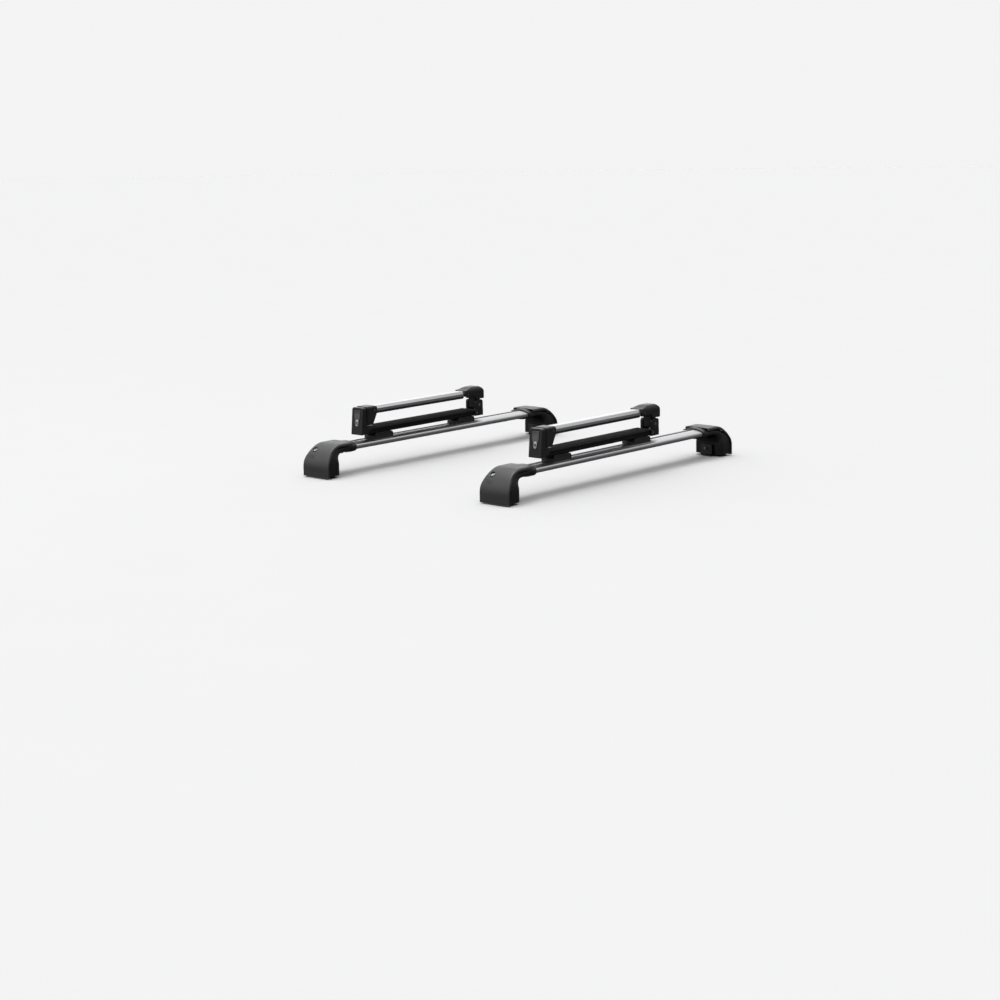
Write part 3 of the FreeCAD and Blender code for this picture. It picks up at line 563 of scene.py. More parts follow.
def cover_stations():
    """Points up the cover's face, over its round and along its top: (y, z, outward y, outward z)."""
    stations = [(COVER_FACE, z, -1.0, 0.0) for z in spread(COVER_BOTTOM, ROUND_MIDDLE.y, 9)]
    for degrees in spread(0, 90, 31)[1:]:
        a = math.radians(degrees)
        stations.append((*on_round(0, degrees), -math.cos(a), math.sin(a)))
    stations += [(y, COVER_TOP, 0.0, 1.0) for y in spread(ROUND_MIDDLE.x, COVER_END, 14)[1:]]
    return stations


def cover_half_width(z):
    """The cover is parallel up to 44 and narrows from there to its top."""
    return COVER_HALF_WIDTH - 11.5 * smooth((z - 44) / 60)


def make_cover():
    """A crowned sheet with rounded edges and a skirt, whose edges grow rounder towards the top."""
    crown = 0.9
    lift_below, lift_at_corner = 30.0, 2.4
    rows = []
    for y, z, out_y, out_z in cover_stations():
        width = cover_half_width(z)
        blend = smooth((z - 40) / 62)
        corner = 2.4 + 3.6 * blend
        skirt = corner + 2.6 + 1.4 * blend
        side = [(x, crown * (x / width) ** 2) for x in spread(0, width - corner, 9)]
        base = side[-1][1]
        for degrees in spread(0, 90, 10)[1:]:
            a = math.radians(degrees)
            side.append(
                (width - corner + corner * math.sin(a), base + corner * (1 - math.cos(a)))
            )
        side += [(width, depth) for depth in spread(base + corner, skirt, 4)[1:]]
        row = []
        for x, depth in [(-x, d) for x, d in side[::-1]][:-1] + side:
            low = max(0.0, (lift_below - z) / (lift_below - COVER_BOTTOM))
            lift = low * lift_at_corner * (x / COVER_HALF_WIDTH) ** 2
            row.append((x, y - out_y * depth, z + lift - out_z * depth))
        rows.append(row)
    count = len(rows[0])
    points = [p for row in rows for p in row]
    faces = [
        [i * count + k, i * count + k + 1, (i + 1) * count + k + 1, (i + 1) * count + k]
        for i in range(len(rows) - 1)
        for k in range(count - 1)
    ]
    mesh = bpy.data.meshes.new("cover")
    mesh.from_pydata(points, [], faces)
    piece = bpy.data.objects.new("cover", mesh)
    bpy.context.scene.collection.objects.link(piece)
    graph = bmesh.new()
    graph.from_mesh(mesh)
    graph.faces.ensure_lookup_table()
    if graph.faces[0].normal.y > 0:
        bmesh.ops.reverse_faces(graph, faces=graph.faces)
    graph.to_mesh(mesh)
    graph.free()
    wall = piece.modifiers.new("wall", "SOLIDIFY")
    wall.thickness = COVER_WALL
    wall.offset = -1.0
    wall.use_even_offset = True
    settle(piece)
    soften(piece, 0.7, 3, 60)
    return piece


LOCK_PLACE = Vector((LOCK_OFF_MIDDLE, *on_round(0, LOCK_TILT)))
LOCK_AXIS = Vector((0.0, -math.cos(math.radians(LOCK_TILT)), math.sin(math.radians(LOCK_TILT))))


def make_bezel():
    """The ring round the foot's lock, which lines the hole in the cover. Its black is partly the
    ring's own colour and partly painted shade for the lock's recess.
    """
    bore, rim, bottom = BEZEL_BORE, 10.8, -4.0
    outline = [(bore, bottom), (bore, -0.6), (7.8, 0.2), (8.7, 0.7), (9.8, 0.75), (10.5, 0.3)]
    outline += [(rim, -0.6), (rim, -2.2), (9.0, -2.4), (9.0, bottom), (bore, bottom)]
    return lathe("bezel", outline, LOCK_PLACE, LOCK_AXIS, 64)


def make_lock(radius, length, place, axis, sunk):
    """A lock core sunk below place: a chamfered disc with a ring and a keyway."""
    top = -sunk
    outline = [(0, top), (radius * 0.5, top), (radius * 0.77, top), (radius * 0.79, top - 0.2)]
    outline += [(radius * 0.83, top - 0.2), (radius * 0.85, top), (radius * 0.94, top)]
    outline += [(radius, top - 0.45), (radius, top - length), (0, top - length)]
    piece = lathe("lock", outline, place, axis, 56)
    tool = prism("tool", box_outline(-0.6, -2.9, 0.6, 2.9, 0.5), "XY", top - 3.0, top + 1.0)
    turn = Vector((0, 0, 1)).rotation_difference(Vector(axis)).to_matrix().to_4x4()
    tool.data.transform(Matrix.Translation(place) @ turn)
    return cut(piece, tool)


def make_foot_body():
    """Leg, bend, sleeve and collar in one skin that turns from a slab into the bar's oval."""
    count = 96
    under_cover = 3.6
    face_round, back_round = 4.0, 13.0
    sleeve_half_height = BAR_HALF_HEIGHT + SLEEVE_WALL

    def slab(width, thick, outer, inner):
        return rounded(
            [(width, thick, outer), (width, 0, inner), (-width, 0, inner), (-width, thick, outer)]
        )

    def ring_from(shape):
        """Starts a ring at the middle of its outer side and runs it towards +x."""
        points = resampled(shape, count * 4)
        best = min(range(len(points)), key=lambda i: abs(points[i].x) - points[i].y * 10)
        points = points[best:] + points[:best]
        if points[8].x < points[0].x:
            points = [points[0]] + points[1:][::-1]
        return resampled(points, count)

    rings = []

    def station(outer_y, outer_z, inner_y, inner_z, blend, grow=0.0):
        """Adds a ring between two points. Blend goes from the slab to the oval."""
        outside, inside = Vector((outer_y, outer_z)), Vector((inner_y, inner_z))
        thick = (outside - inside).length
        up = (outside - inside) / thick
        width = cover_half_width(outer_z) - under_cover
        flare = (cover_half_width(inner_z) - under_cover) / width - 1
        square = ring_from(slab(width, thick, face_round, back_round))
        half_height = sleeve_half_height + grow
        sleeve = ring_from([(x, y + half_height) for x, y in oval(SLEEVE_WALL + grow)])
        scale = thick / (2 * half_height)
        ring = []
        for a, b in zip(square, sleeve):
            p = a.lerp(Vector((b.x, b.y * scale)), blend)
            spot = inside + up * p.y
            ring.append((p.x * (1 + flare * (1 - blend) * (1 - p.y / thick)), spot.x, spot.y))
        rings.append(ring)

    bend_low, bend_high = 23.0, SLEEVE_BOTTOM - UNDER_ROUND
    under_middle = LEG_BACK + UNDER_ROUND
    bend_from = 40
    for t in spread(0, 1, 5):
        face_z = LEG_BOTTOM + (ROUND_MIDDLE.y - LEG_BOTTOM) * t
        back_z = LEG_BOTTOM + (bend_low - LEG_BOTTOM) * t
        station(LEG_FACE, face_z, LEG_BACK, back_z, 0.0)
    for degrees in spread(0, 90, 19)[1:]:
        outer = on_round(LEG_FACE - COVER_FACE, degrees)
        if degrees < bend_from:
            inner = (LEG_BACK, bend_low + (bend_high - bend_low) * degrees / bend_from)
        else:
            a = math.radians((degrees - bend_from) / (90 - bend_from) * 90)
            inner = (under_middle - UNDER_ROUND * math.cos(a), bend_high + UNDER_ROUND * math.sin(a))
        station(*outer, *inner, smooth((degrees - 35) / 55))
    station(under_middle, SLEEVE_TOP - 1.0, under_middle + 10, SLEEVE_BOTTOM, 1.0)

    sleeve = [(y, 0.0) for y in (-474, -462, -450)]
    collar = [(-448.8, 0.4), (-448.0, 1.3), (-447.2, 1.85), (-446.0, 2.0), (-432, 2.0)]
    collar += [(-429.6, 1.8), (-428.2, 1.2), (-427.3, 0.2), (-427.0, -0.9), (-427.0, -2.6)]
    mouth = [(-435.0, -2.8)]
    for y, grow in sleeve + collar + mouth:
        station(y, SLEEVE_TOP + grow, y, SLEEVE_BOTTOM - grow, 1.0, grow)
    piece = loft("foot_body", rings)
    weld(piece, 0.01)
    bolt_recess = prism("tool", box_outline(-20, 16, 20, 58, 4), "XZ", -570, -540)
    lock_hollow = prism("tool", box_outline(-45, 68, -12, 112, 3), "XZ", -575, -527)
    cut(piece, soften(bolt_recess, 0.5), lock_hollow)
    return drill(piece, (0, -545, CLAW_BOLT_HEIGHT), (0, 1, 0), 4.6, 40, 28)


def make_foot_pad():
    """The rubber sole: a block with cross ribs under it."""
    face, back = -560.0, -526.0
    edge, top = 1.2, 6.9
    ribs, pitch = 8, 4.2
    outline = [(face, top), (face, edge)]
    for i in range(ribs):
        low = face + 0.8 + i * pitch
        outline += [(low, 0.35), (low + 0.5, 0.0), (low + 2.5, 0.0), (low + 3.0, 0.35)]
        if i < ribs - 1:
            outline += [(low + 3.2, 1.5), (low + 4.0, 1.5)]
    outline += [(back, edge), (back, top)]
    return soften(prism("pad", outline, "YZ", -38, 38), 0.5, 2, 50)


def make_claw():
    """The bent steel plate whose lip goes under the rail's edge."""
    outline = rounded(
        [
            (-516, 2.5, 0.8),
            (-502, 2.5, 5.5),
            (-502, 40, 0.8),
            (-506, 40, 0.8),
            (-506, 6, 2.0),
            (-516, 6, 0.8),
        ]
    )
    half = 22
    piece = prism("claw", outline, "YZ", -half, half)
    drill(piece, (0, -512, CLAW_BOLT_HEIGHT), (0, 1, 0), 4.2, 16)
    front = rounded([(-half, 0, 0), (half, 0, 0), (half, 41, 7), (-half, 41, 7)])
    common(piece, prism("trim", front, "XZ", -520, -500))
    return soften(piece, 0.5, 2, 50)


def make_ribs():
    """Low grip ribs moulded into the cover's face, under its lock."""
    pitch = 4.0
    height, half_width = 0.7, 0.9
    pieces = []
    for i in range(6):
        x = -36.0 + i * pitch
        crown = 0.9 * (x / COVER_HALF_WIDTH) ** 2
        rings = []
        for t in spread(0, 1, 9):
            degrees_up = 24 + 13 * t
            a = math.radians(degrees_up)
            swell = math.sqrt(max(0.0, 1 - (2 * t - 1) ** 4))
            y, z = on_round(0, degrees_up)
            ring = []
            for degrees in range(0, 360, 30):
                b = math.radians(degrees)
                across = half_width * (0.3 + 0.7 * swell) * math.cos(b)
                out = height * swell * math.sin(b) - crown
                ring.append((x + across, y - math.cos(a) * out, z + math.sin(a) * out))
            rings.append(ring)
        pieces.append(loft("rib", rings))
    return add(*pieces)


def build_foot(foot):
    """Builds one foot's pieces. Each stands for the frame's node of the name given last."""
    clamp, turned = FEET[foot]

    def put(piece, name, body, slot, node=None, flat_angle=38.0):
        nodes = [f"{foot}_{node}"] if node else []
        return placed(piece, f"{foot}_{name}", clamp, turned, body, slot, nodes, flat_angle)

    cover_body = f"{foot}_cover"
    cover = make_cover()
    drill(cover, LOCK_PLACE - LOCK_AXIS * 6, LOCK_AXIS, BEZEL_BORE + 0.7, 12, 48)
    put(cover, "cover_shell", cover_body, "grey_cover", "foot_cover")
    put(make_ribs(), "cover_ribs", cover_body, "grey_cover")
    # the bezel's black is partly painted shade: it darkens the recess round the lock
    put(make_bezel(), "lock_bezel", cover_body, "black_plastic")
    lock = make_lock(6.6, 13.0, LOCK_PLACE, LOCK_AXIS, 3.6)
    put(lock, "lock_disc", f"{foot}_lock", "lock_metal", "foot_lock")
    put(make_foot_body(), "leg_and_sleeve", "base", "black_nylon", "foot_body", 50)
    put(make_foot_pad(), "sole_pad", "base", "pad_rubber", "foot_pad")
    put(make_claw(), "rail_claw", f"{foot}_claw", "black_steel", "foot_claw")


# ---------------------------------------------------------------- clamps


def face_y(z):
    """The tower's face leans back as it rises."""
    rise = UPPER_ARM_TOP - LOWER_ARM_BOTTOM
    return TOWER_FACE + (z - LOWER_ARM_BOTTOM) * TOWER_LEAN / rise


def shield(offset):
    """The push button's outline, grown by offset: wide above, narrow below."""
    o = offset
    return rounded(
        [
            (-7.5 - o, 141 - o, 5.0),
            (7.5 + o, 141 - o, 5.0),
            (9.0 + o, 158, 8.0),
            (14.0 + o, 172, 8.0),
            (14.0 + o, 196 + o, 4.5),
            (-14.0 - o, 196 + o, 4.5),
            (-14.0 - o, 172, 8.0),
            (-9.0 - o, 158, 8.0),
        ]
    )


def lean_front(piece, from_y):
    """Leans what is in front of from_y with the tower's face."""
    for vertex in piece.data.vertices:
        if vertex.co.y < from_y:
            vertex.co.y += face_y(vertex.co.z) - TOWER_FACE
    return piece


def around_arm(clearance, below):
    """The room that a fitting leaves for the lower arm, from so far below its underside."""
    half = LOWER_ARM_HALF_WIDTH + clearance
    return box_outline(-half, LOWER_ARM_BOTTOM - below, half, LOWER_ARM_TOP + clearance)


def make_tower():
    """The latch's tower, with the button's well in its face and a wedge over the arm's end."""
    front = box_outline(
        -END_HALF_WIDTH, LOWER_ARM_BOTTOM, END_HALF_WIDTH, UPPER_ARM_TOP, 2.5, 7.0
    )
    piece = prism("tower", front, "XZ", TOWER_FACE, TOWER_BACK)
    lean_front(piece, TOWER_FACE + 5)
    soften(piece, 1.3, 4, 40)
    groove = prism("tool", shield(1.1), "XZ", TOWER_FACE - 1.5, TOWER_FACE + 0.9)
    lean_front(groove, 0)
    well = prism("tool", shield(0.15), "XZ", -392, -366)
    side = rounded(
        [
            (-363, 115.2, 0),
            (-357, 115.2, 6),
            (-344, 128, 14),
            (-331.5, 137.5, 4),
            (-331.5, 143, 0.8),
            (-363, 143, 0),
        ]
    )
    wedge = soften(prism("wedge", side, "YZ", -24.2, 24.2), 0.9, 3, 40)
    channel = prism("tool", around_arm(0.1, 5), "XZ", TOWER_BACK + 0.1, -325)
    add(piece, cut(wedge, channel))
    return cut(piece, groove, well)


def make_button():
    """The push button, with a thumb dish above and the lock's hole below."""
    piece = prism("button", shield(-0.55), "XZ", TOWER_FACE - BUTTON_PROUD, -373)
    lean_front(piece, TOWER_FACE + 5)
    soften(piece, 1.1, 4, 40)
    dish_height, dish_depth = 186, 0.9
    dish_place = (0, face_y(dish_height) - BUTTON_PROUD + dish_depth, dish_height)
    dish = [(0, 0), (8, 0.05), (11, 0.6), (13, 1.6), (13, 8), (0, 8)]
    cut(piece, lathe("tool", dish, dish_place, (0, -1, 0.09), 56))
    return drill(piece, (0, -372, CORE_HEIGHT), (0, -1, 0), 5.2, 20, 48)


def egg(grow):
    """The lock surround's outline, fuller above than below."""
    half_width, half_height = 6.0 + grow, 9.2 + grow
    middle = CORE_HEIGHT - 0.3
    points = []
    for degrees in range(0, 360, 9):
        a = math.radians(degrees)
        x = half_width * math.sin(a) * (1 + 0.14 * math.cos(a))
        points.append((x, middle + half_height * math.cos(a)))
    return points


def make_surround():
    """The plated egg-shaped plate round the clamp's lock."""
    set_in = 0.3
    rim = ((1.5, 0.0), (1.5, 1.3), (1.2, 1.8), (0.6, 2.1), (-0.2, 2.0), (-0.6, 1.7))
    hole = ((5.5, 1.7), (5.15, 1.4), (5.15, 0.0))
    rings = [[(x, face_y(z) - high + set_in, z) for x, z in egg(grow)] for grow, high in rim]
    for radius, high in hole:
        ring = []
        for degrees in range(0, 360, 9):
            a = math.radians(degrees)
            z = CORE_HEIGHT + radius * math.cos(a)
            ring.append((radius * math.sin(a), face_y(CORE_HEIGHT) - high + set_in, z))
        rings.append(ring)
    return loft("surround", rings, (False, False))


def make_core():
    """The clamp's lock core, just below the surround's rim."""
    place = Vector((0, face_y(CORE_HEIGHT) - 1.5, CORE_HEIGHT))
    return make_lock(4.9, 10.0, place, Vector((0, -1, 0)), 0.5)


def make_spring():
    """The waved strip of spring steel behind the push button."""
    waves, swing, half_thick = 2, 3.4, 0.35
    length = SPRING_FAR - SPRING_NEAR
    above, below = [], []
    for t in spread(0, 1, 49):
        turn = 2 * math.pi * waves * t
        slope = -swing * 2 * math.pi * waves / length * math.sin(turn)
        normal = Vector((-slope, 1.0)).normalized() * half_thick
        spot = Vector((SPRING_NEAR + length * t, SPRING_HEIGHT + swing * math.cos(turn)))
        above.append(tuple(spot + normal))
        below.append(tuple(spot - normal))
    return prism("spring", above + below[::-1], "YZ", -3, 3)


def arm_outline(grow=0.0):
    """The upper arm's section: a box with its upper edges bevelled wide."""
    half = UPPER_ARM_HALF_WIDTH + grow
    low, high = UPPER_ARM_BOTTOM - grow, UPPER_ARM_TOP + grow
    bevel_low, bevel_in = 194.2, 12.5
    return rounded(
        [
            (-half, low, 1.5),
            (half, low, 1.5),
            (half, bevel_low, 3.0),
            (bevel_in, high, 4.5),
            (-bevel_in, high, 4.5),
            (-half, bevel_low, 3.0),
        ]
    )


def drill_arm_screws(piece, y):
    """Sinks a screw head's seat in either side of a fitting on the upper arm."""
    for side in (1, -1):
        drill(piece, (side * 22.4, y, 192), (side, 0, 0), SCREW_HEAD_RADIUS, 6, 36)
    return piece


def make_latch_head():
    """The wedge at the upper arm's free end, with a channel for the latch bolt."""
    side = rounded(
        [
            (-358, 145, 0.5),
            (-332, 145, 5),
            (-326, 156, 16),
            (-315, 178, 14),
            (-312, 184, 3),
            (-312, 204.8, 7),
            (-358, 204.8, 2.5),
        ]
    )
    front = box_outline(-END_HALF_WIDTH, 140, END_HALF_WIDTH, 205, 0.0, 8.0)
    piece = prism("latch", side, "YZ", -25, 25)
    common(piece, prism("trim", front, "XZ", -360, -310))
    soften(piece, 1.0, 3, 40)
    arm_socket = prism("tool", arm_outline(0.15), "XZ", -344, -300)
    bolt_channel = prism("tool", box_outline(-8, 140, 8, 183, 1.0), "XZ", -360, -338)
    cut(piece, arm_socket, bolt_channel)
    return drill_arm_screws(piece, -323)


def make_hinge_head():
    """The domed cap at the upper arm's hinged end, with the knuckle below it."""
    cap_side = rounded(
        [
            (117, 184, 1.5),
            (165, 184, 6),
            (173, 170.6, 3),
            (211, 170.6, 3),
            (211, 200, 14),
            (196, 213.4, 26),
            (160, 213.8, 60),
            (128, 205.4, 34),
            (117, 205.0, 3),
        ],
        10,
    )
    cap_front = rounded(
        [
            (-END_HALF_WIDTH, 165, 0),
            (END_HALF_WIDTH, 165, 0),
            (END_HALF_WIDTH, 203, 30),
            (14, 214.6, 24),
            (-14, 214.6, 24),
            (-END_HALF_WIDTH, 203, 30),
        ],
        10,
    )
    cap = prism("cap", cap_side, "YZ", -25, 25)
    common(cap, prism("trim", cap_front, "XZ", 110, 215))
    soften(cap, 1.4, 4, 40)
    pin_y, pin_z = PIN_PLACE
    near, far, low = pin_y - 13.8, pin_y + 13.8, pin_z - 13.8
    knuckle_side = rounded(
        [
            (near, 185, 0),
            (near, pin_z, 14),
            (near, low, 13.9),
            (far, low, 13.9),
            (far, pin_z, 14),
            (far, 185, 0),
        ],
        12,
    )
    add(cap, soften(prism("knuckle", knuckle_side, "YZ", -14.4, 14.4), 0.8, 3, 40))
    cut(cap, prism("tool", arm_outline(0.15), "XZ", 100, 150))
    drill_arm_screws(cap, 132)
    return drill(cap, (-30, pin_y, pin_z), (1, 0, 0), 4.1, 60, 36)


def make_hinge_base():
    """The bracket on the lower arm, with an ear on either side of the knuckle."""
    block = prism(
        "block",
        box_outline(165, LOWER_ARM_BOTTOM - 2.4, 206, LOWER_ARM_TOP + 2.4, 2.0),
        "YZ",
        -END_HALF_WIDTH,
        END_HALF_WIDTH,
    )
    soften(block, 1.2, 3, 40)
    pin_y, pin_z = PIN_PLACE
    near, far, high = 171.2, 205.0, 167
    ear_side = rounded(
        [
            (near, 120, 0),
            (far, 120, 0),
            (far, pin_z, 17),
            (far, high, 16.9),
            (near, high, 16.9),
            (near, pin_z, 17),
        ],
        12,
    )
    for side in (1, -1):
        ear = prism("ear", ear_side, "YZ", *sorted((side * 15.1, side * END_HALF_WIDTH)))
        add(block, soften(ear, 1.0, 3, 40))
        drill(block, (side * 14, pin_y, pin_z), (side, 0, 0), 4.1, 14, 36)
        drill(block, (side * 22.8, 176, 123.5), (side, 0, 0), SCREW_HEAD_RADIUS, 6, 36)
    return cut(block, prism("tool", around_arm(0.1, 0.1), "XZ", 160, LOWER_ARM_END + 0.1))


def make_lower_arm():
    """A dark box section with a fine groove along either side."""
    half, low, high = LOWER_ARM_HALF_WIDTH, LOWER_ARM_BOTTOM, LOWER_ARM_TOP
    groove = half - 0.7
    side = [
        (half, low, 2.0),
        (half, 120.5, 0.3),
        (groove, 121.1, 0.2),
        (groove, 122.1, 0.2),
        (half, 122.7, 0.3),
        (half, high, 2.0),
    ]
    other_side = [(-x, z, radius) for x, z, radius in side[::-1]]
    outline = rounded([other_side[-1]] + side + other_side[:-1], 5)
    return soften(prism("arm", outline, "XZ", TOWER_BACK + 0.2, LOWER_ARM_END), 0.5, 2, 60)


def make_upper_arm():
    """The bright bevelled box section, between the latch head's socket and the cap's."""
    return soften(prism("arm", arm_outline(), "XZ", *UPPER_ARM_ENDS), 0.5, 2, 60)


def make_ski_pad(low_y, high_y, root, crest):
    """A rubber pad with six long round ribs, from root at the arm to crest at the skis."""
    sign = 1 if crest > root else -1
    half, edge = 18.0, sign * 2.6
    half_rib = [(0.0, 1.0), (1.1, 0.94), (1.6, 0.72), (2.0, 0.12), (2.4, 0.0)]
    rib = [(-x, share) for x, share in half_rib[:0:-1]] + half_rib
    pitch = 6.0
    ribs = [(-15.0 + i * pitch + dx, share) for i in range(6) for dx, share in rib]
    valley = root + sign * 4.0
    taper = [(0.0, 0.35, 0.9), (0.5, 0.7, 0.4), (1.6, 0.95, 0.1), (3.0, 1.0, 0.0)]
    stations = [(low_y + inset, keep, shrink) for inset, keep, shrink in taper]
    stations += [(y, 1.0, 0.0) for y in spread(low_y + 12, high_y - 12, 24)]
    stations += [(high_y - inset, keep, shrink) for inset, keep, shrink in taper[::-1]]
    rings = []
    for y, keep, shrink in stations:
        side = half - shrink
        ring = [(-side, y, root), (-side, y, root + edge * keep)]
        for x, share in ribs:
            ring.append((x, y, root + (valley - root + (crest - valley) * share) * keep))
        ring += [(side, y, root + edge * keep), (side, y, root)]
        rings.append(ring)
    return loft("pad", rings)


def make_shoe(middle):
    """A saddle block between the bar and the lower arm."""
    low, high = middle - 45, middle + 45
    bevel = 9
    side = rounded(
        [
            (low, 92, 0),
            (high, 92, 0),
            (high, 104, 3),
            (high - bevel, LOWER_ARM_BOTTOM, 5),
            (low + bevel, LOWER_ARM_BOTTOM, 5),
            (low, 104, 3),
        ]
    )
    half = 25
    piece = prism("shoe", side, "YZ", -half, half)
    common(piece, prism("trim", box_outline(-half, low, half, high, 5.0), "XY", 90, 118))
    soften(piece, 0.9, 3, 40)
    bar = [(x, z + BAR_MIDDLE) for x, z in oval(0.05)]
    return cut(piece, prism("tool", bar, "XZ", low - 5, high + 5))


def build_clamp(clamp):
    """Builds one clamp's pieces. Each stands for the frame's node of the name given last."""

    def put(piece, name, body, slot, node=None, flat_angle=38.0):
        nodes = [f"{clamp}_{node}"] if node else []
        return placed(piece, f"{clamp}_{name}", clamp, False, body, slot, nodes, flat_angle)

    button = f"{clamp}_button"
    put(make_tower(), "tower_shell", "base", "black_plastic", "lock_housing")
    put(make_button(), "button_cap", button, "button_plastic", "push_button")
    put(make_surround(), "lock_surround", button, "lock_metal")
    spring = put(make_spring(), "strip_spring", "base", "zinc_steel", "button_spring")
    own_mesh(spring)
    put(make_core(), "lock_core", f"{clamp}_core", "lock_metal", "lock_cylinder")

    arm = f"{clamp}_arm"
    low_crest, high_crest = PAD_CRESTS
    put(make_latch_head(), "latch_shell", arm, "black_plastic", "latch_head")
    put(make_hinge_head(), "hinge_cap", arm, "black_plastic", "hinge_head")
    put(make_upper_arm(), "upper_beam", arm, "arm_aluminium", "upper_arm")
    pad = make_ski_pad(*UPPER_PAD_ENDS, UPPER_ARM_BOTTOM + PAD_SUNK, high_crest)
    put(pad, "upper_rubber", arm, "pad_rubber", "upper_pad", 70)

    put(make_lower_arm(), "lower_beam", "base", "dark_aluminium", "lower_arm")
    low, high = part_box(f"{clamp}_lower_pad")
    pad = make_ski_pad(low.y / MM, high.y / MM, LOWER_ARM_TOP - PAD_SUNK, low_crest)
    put(pad, "lower_rubber", "base", "pad_rubber", "lower_pad", 70)
    put(make_hinge_base(), "hinge_block", "base", "black_plastic", "hinge_base")
    for end, middle in SHOE_MIDDLES.items():
        name = f"{clamp}_{end}_shoe"
        placed(make_shoe(middle), name, clamp, False, "base", "black_plastic", ["mount_shoes"])


for foot_name in FEET:
    build_foot(foot_name)
for clamp_name in CLAMPS:
    build_clamp(clamp_name)

slots = {part["node"]: part["material_slot"] for part in frame["record"]["subparts"]}
for node_name, node in frame["nodes"].items():
    node.data.materials.clear()
    node.data.materials.append(LOOKS[slots[node_name]])


# ---------------------------------------------------------------- stage, light and camera


# The floor's tone as the camera sees it, and as the rack sees it.
FLOOR_TONE = 0.547
FLOOR_BOUNCE = 0.08
# The dome's strengths as the rack sees them, and what the camera sees in its place.
DOME_LOW = 0.12
OVERHEAD = 2.7
BACK_WALL = 1.3
FRONT_FILL = 1.0
BACKDROP = 0.9
CAMERA_HEADING = (-0.657, 0.754, 0.0)
FILL_SIDE = (-0.62, -0.77, 0.15)


def make_floor():
    """Pale paper. It gives back less light than it shows, as the dark roof under a rack does."""
    corners = 64
    turns = [2 * math.pi * k / corners for k in range(corners)]
    rings = [
        [(radius * math.cos(a), radius * math.sin(a), 0.0) for a in turns]
        for radius in (0.0001, 2.0, 6.0, 14.0, 40.0)
    ]
    floor = loft("floor", rings, (True, False))
    material, tree, shader, where = new_material("floor_paper")
    soft = noise(tree, where, 3.0, 2.0)
    pale = mix_colours(tree, soft, grey(FLOOR_TONE, 0.005), grey(FLOOR_TONE * 1.02, 0.005))
    path = tree.nodes.new("ShaderNodeLightPath")
    colour = mix_colours(tree, path.outputs["Is Camera Ray"], grey(FLOOR_BOUNCE), pale)
    tree.links.new(colour, shader.inputs["Base Color"])
    shader.inputs["Roughness"].default_value = 0.9
    shader.inputs["Specular IOR Level"].default_value = 0.0
    floor.data.materials.append(material)


def make_light(name, place, target, size, power):
    """A rectangular lamp that faces target."""
    data = bpy.data.lights.new(name, "AREA")
    data.shape = "RECTANGLE"
    data.size, data.size_y = size
    data.energy = power
    light = bpy.data.objects.new(name, data)
    bpy.context.scene.collection.objects.link(light)
    light.location = place
    aim = Vector(target) - Vector(place)
    light.rotation_mode = "QUATERNION"
    light.rotation_quaternion = aim.to_track_quat("-Z", "Y")


def make_camera():
    """A low view past the rack's near front corner, with the rack small above the middle."""
    azimuth, elevation, roll = math.radians(41.08), math.radians(10.83), math.radians(-0.8)
    target = Vector((1.0726, -1.345, 0.215))
    distance = 4.6937
    back = Vector(
        (
            math.sin(azimuth) * math.cos(elevation),
            -math.cos(azimuth) * math.cos(elevation),
            math.sin(elevation),
        )
    )
    data = bpy.data.cameras.new("camera")
    data.sensor_width = 36.0
    data.lens = 70.848
    data.clip_end = 200.0
    camera = bpy.data.objects.new("camera", data)
    bpy.context.scene.collection.objects.link(camera)
    camera.location = target + back * distance
    camera.rotation_mode = "QUATERNION"
    turn = (-back).to_track_quat("-Z", "Y")
    camera.rotation_quaternion = turn @ Matrix.Rotation(roll, 3, "Z").to_quaternion()
    bpy.context.scene.camera = camera


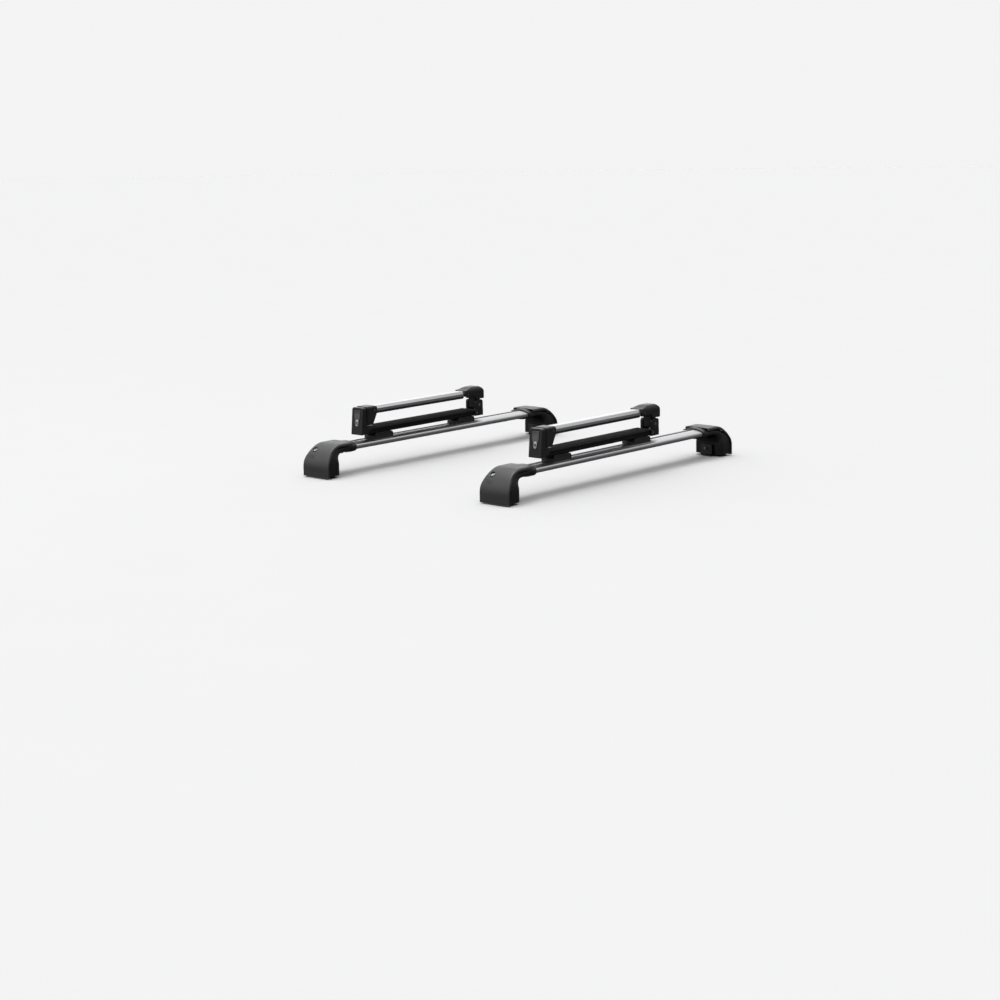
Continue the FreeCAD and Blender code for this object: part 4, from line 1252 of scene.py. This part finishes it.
def make_world():
    """A soft dome: bright overhead, with a pale wall behind the rack and a fill on its near side."""
    world = bpy.data.worlds.new("studio")
    world.use_nodes = True
    tree = world.node_tree
    tree.nodes.clear()
    where = tree.nodes.new("ShaderNodeTexCoord").outputs["Generated"]

    def maths(operation, first, second):
        node = tree.nodes.new("ShaderNodeMath")
        node.operation = operation
        for socket, value in zip(node.inputs, (first, second)):
            if isinstance(value, bpy.types.NodeSocket):
                tree.links.new(value, socket)
            else:
                socket.default_value = value
        return node.outputs[0]

    def facing(direction):
        """1 towards the direction, 0 square to it."""
        node = tree.nodes.new("ShaderNodeVectorMath")
        node.operation = "DOT_PRODUCT"
        tree.links.new(where, node.inputs[0])
        node.inputs[1].default_value = direction
        return node.outputs["Value"]

    def shine():
        node = tree.nodes.new("ShaderNodeBackground")
        node.inputs["Color"].default_value = (1.0, 1.0, 1.0, 1.0)
        return node

    split = tree.nodes.new("ShaderNodeSeparateXYZ")
    tree.links.new(where, split.inputs[0])
    height = maths("MAXIMUM", split.outputs["Z"], 0.0)
    overhead = maths("MULTIPLY", maths("POWER", height, 4.0), OVERHEAD)
    wall = remap(tree, facing(CAMERA_HEADING), 0.2, 0.95, 0.0, BACK_WALL)
    wall_top = remap(tree, split.outputs["Z"], 0.35, 0.75, 1.0, 0.0)
    fill = remap(tree, facing(FILL_SIDE), 0.25, 1.0, DOME_LOW, FRONT_FILL)
    strength = maths("ADD", maths("MULTIPLY", wall, wall_top), maths("ADD", overhead, fill))
    dome = shine()
    tree.links.new(strength, dome.inputs["Strength"])
    seen = shine()
    seen.inputs["Strength"].default_value = BACKDROP
    pick = tree.nodes.new("ShaderNodeMixShader")
    path = tree.nodes.new("ShaderNodeLightPath")
    tree.links.new(path.outputs["Is Camera Ray"], pick.inputs[0])
    tree.links.new(dome.outputs[0], pick.inputs[1])
    tree.links.new(seen.outputs[0], pick.inputs[2])
    output = tree.nodes.new("ShaderNodeOutputWorld")
    tree.links.new(pick.outputs[0], output.inputs[0])
    bpy.context.scene.world = world


def make_sun(direction, strength, angle):
    """A wide soft sun whose light travels along direction."""
    data = bpy.data.lights.new("sun", "SUN")
    data.energy = strength
    data.angle = math.radians(angle)
    sun = bpy.data.objects.new("sun", data)
    bpy.context.scene.collection.objects.link(sun)
    sun.rotation_mode = "QUATERNION"
    sun.rotation_quaternion = Vector(direction).to_track_quat("-Z", "Y")


make_floor()
make_world()
make_sun(direction=(0.25, -0.15, -1.0), strength=1.1, angle=30)
make_light("left", place=(-3.4, -3.6, 2.4), target=(0, -0.2, 0.1), size=(1.2, 2.0), power=10)
make_camera()
bpy.context.scene.view_settings.view_transform = "Standard"
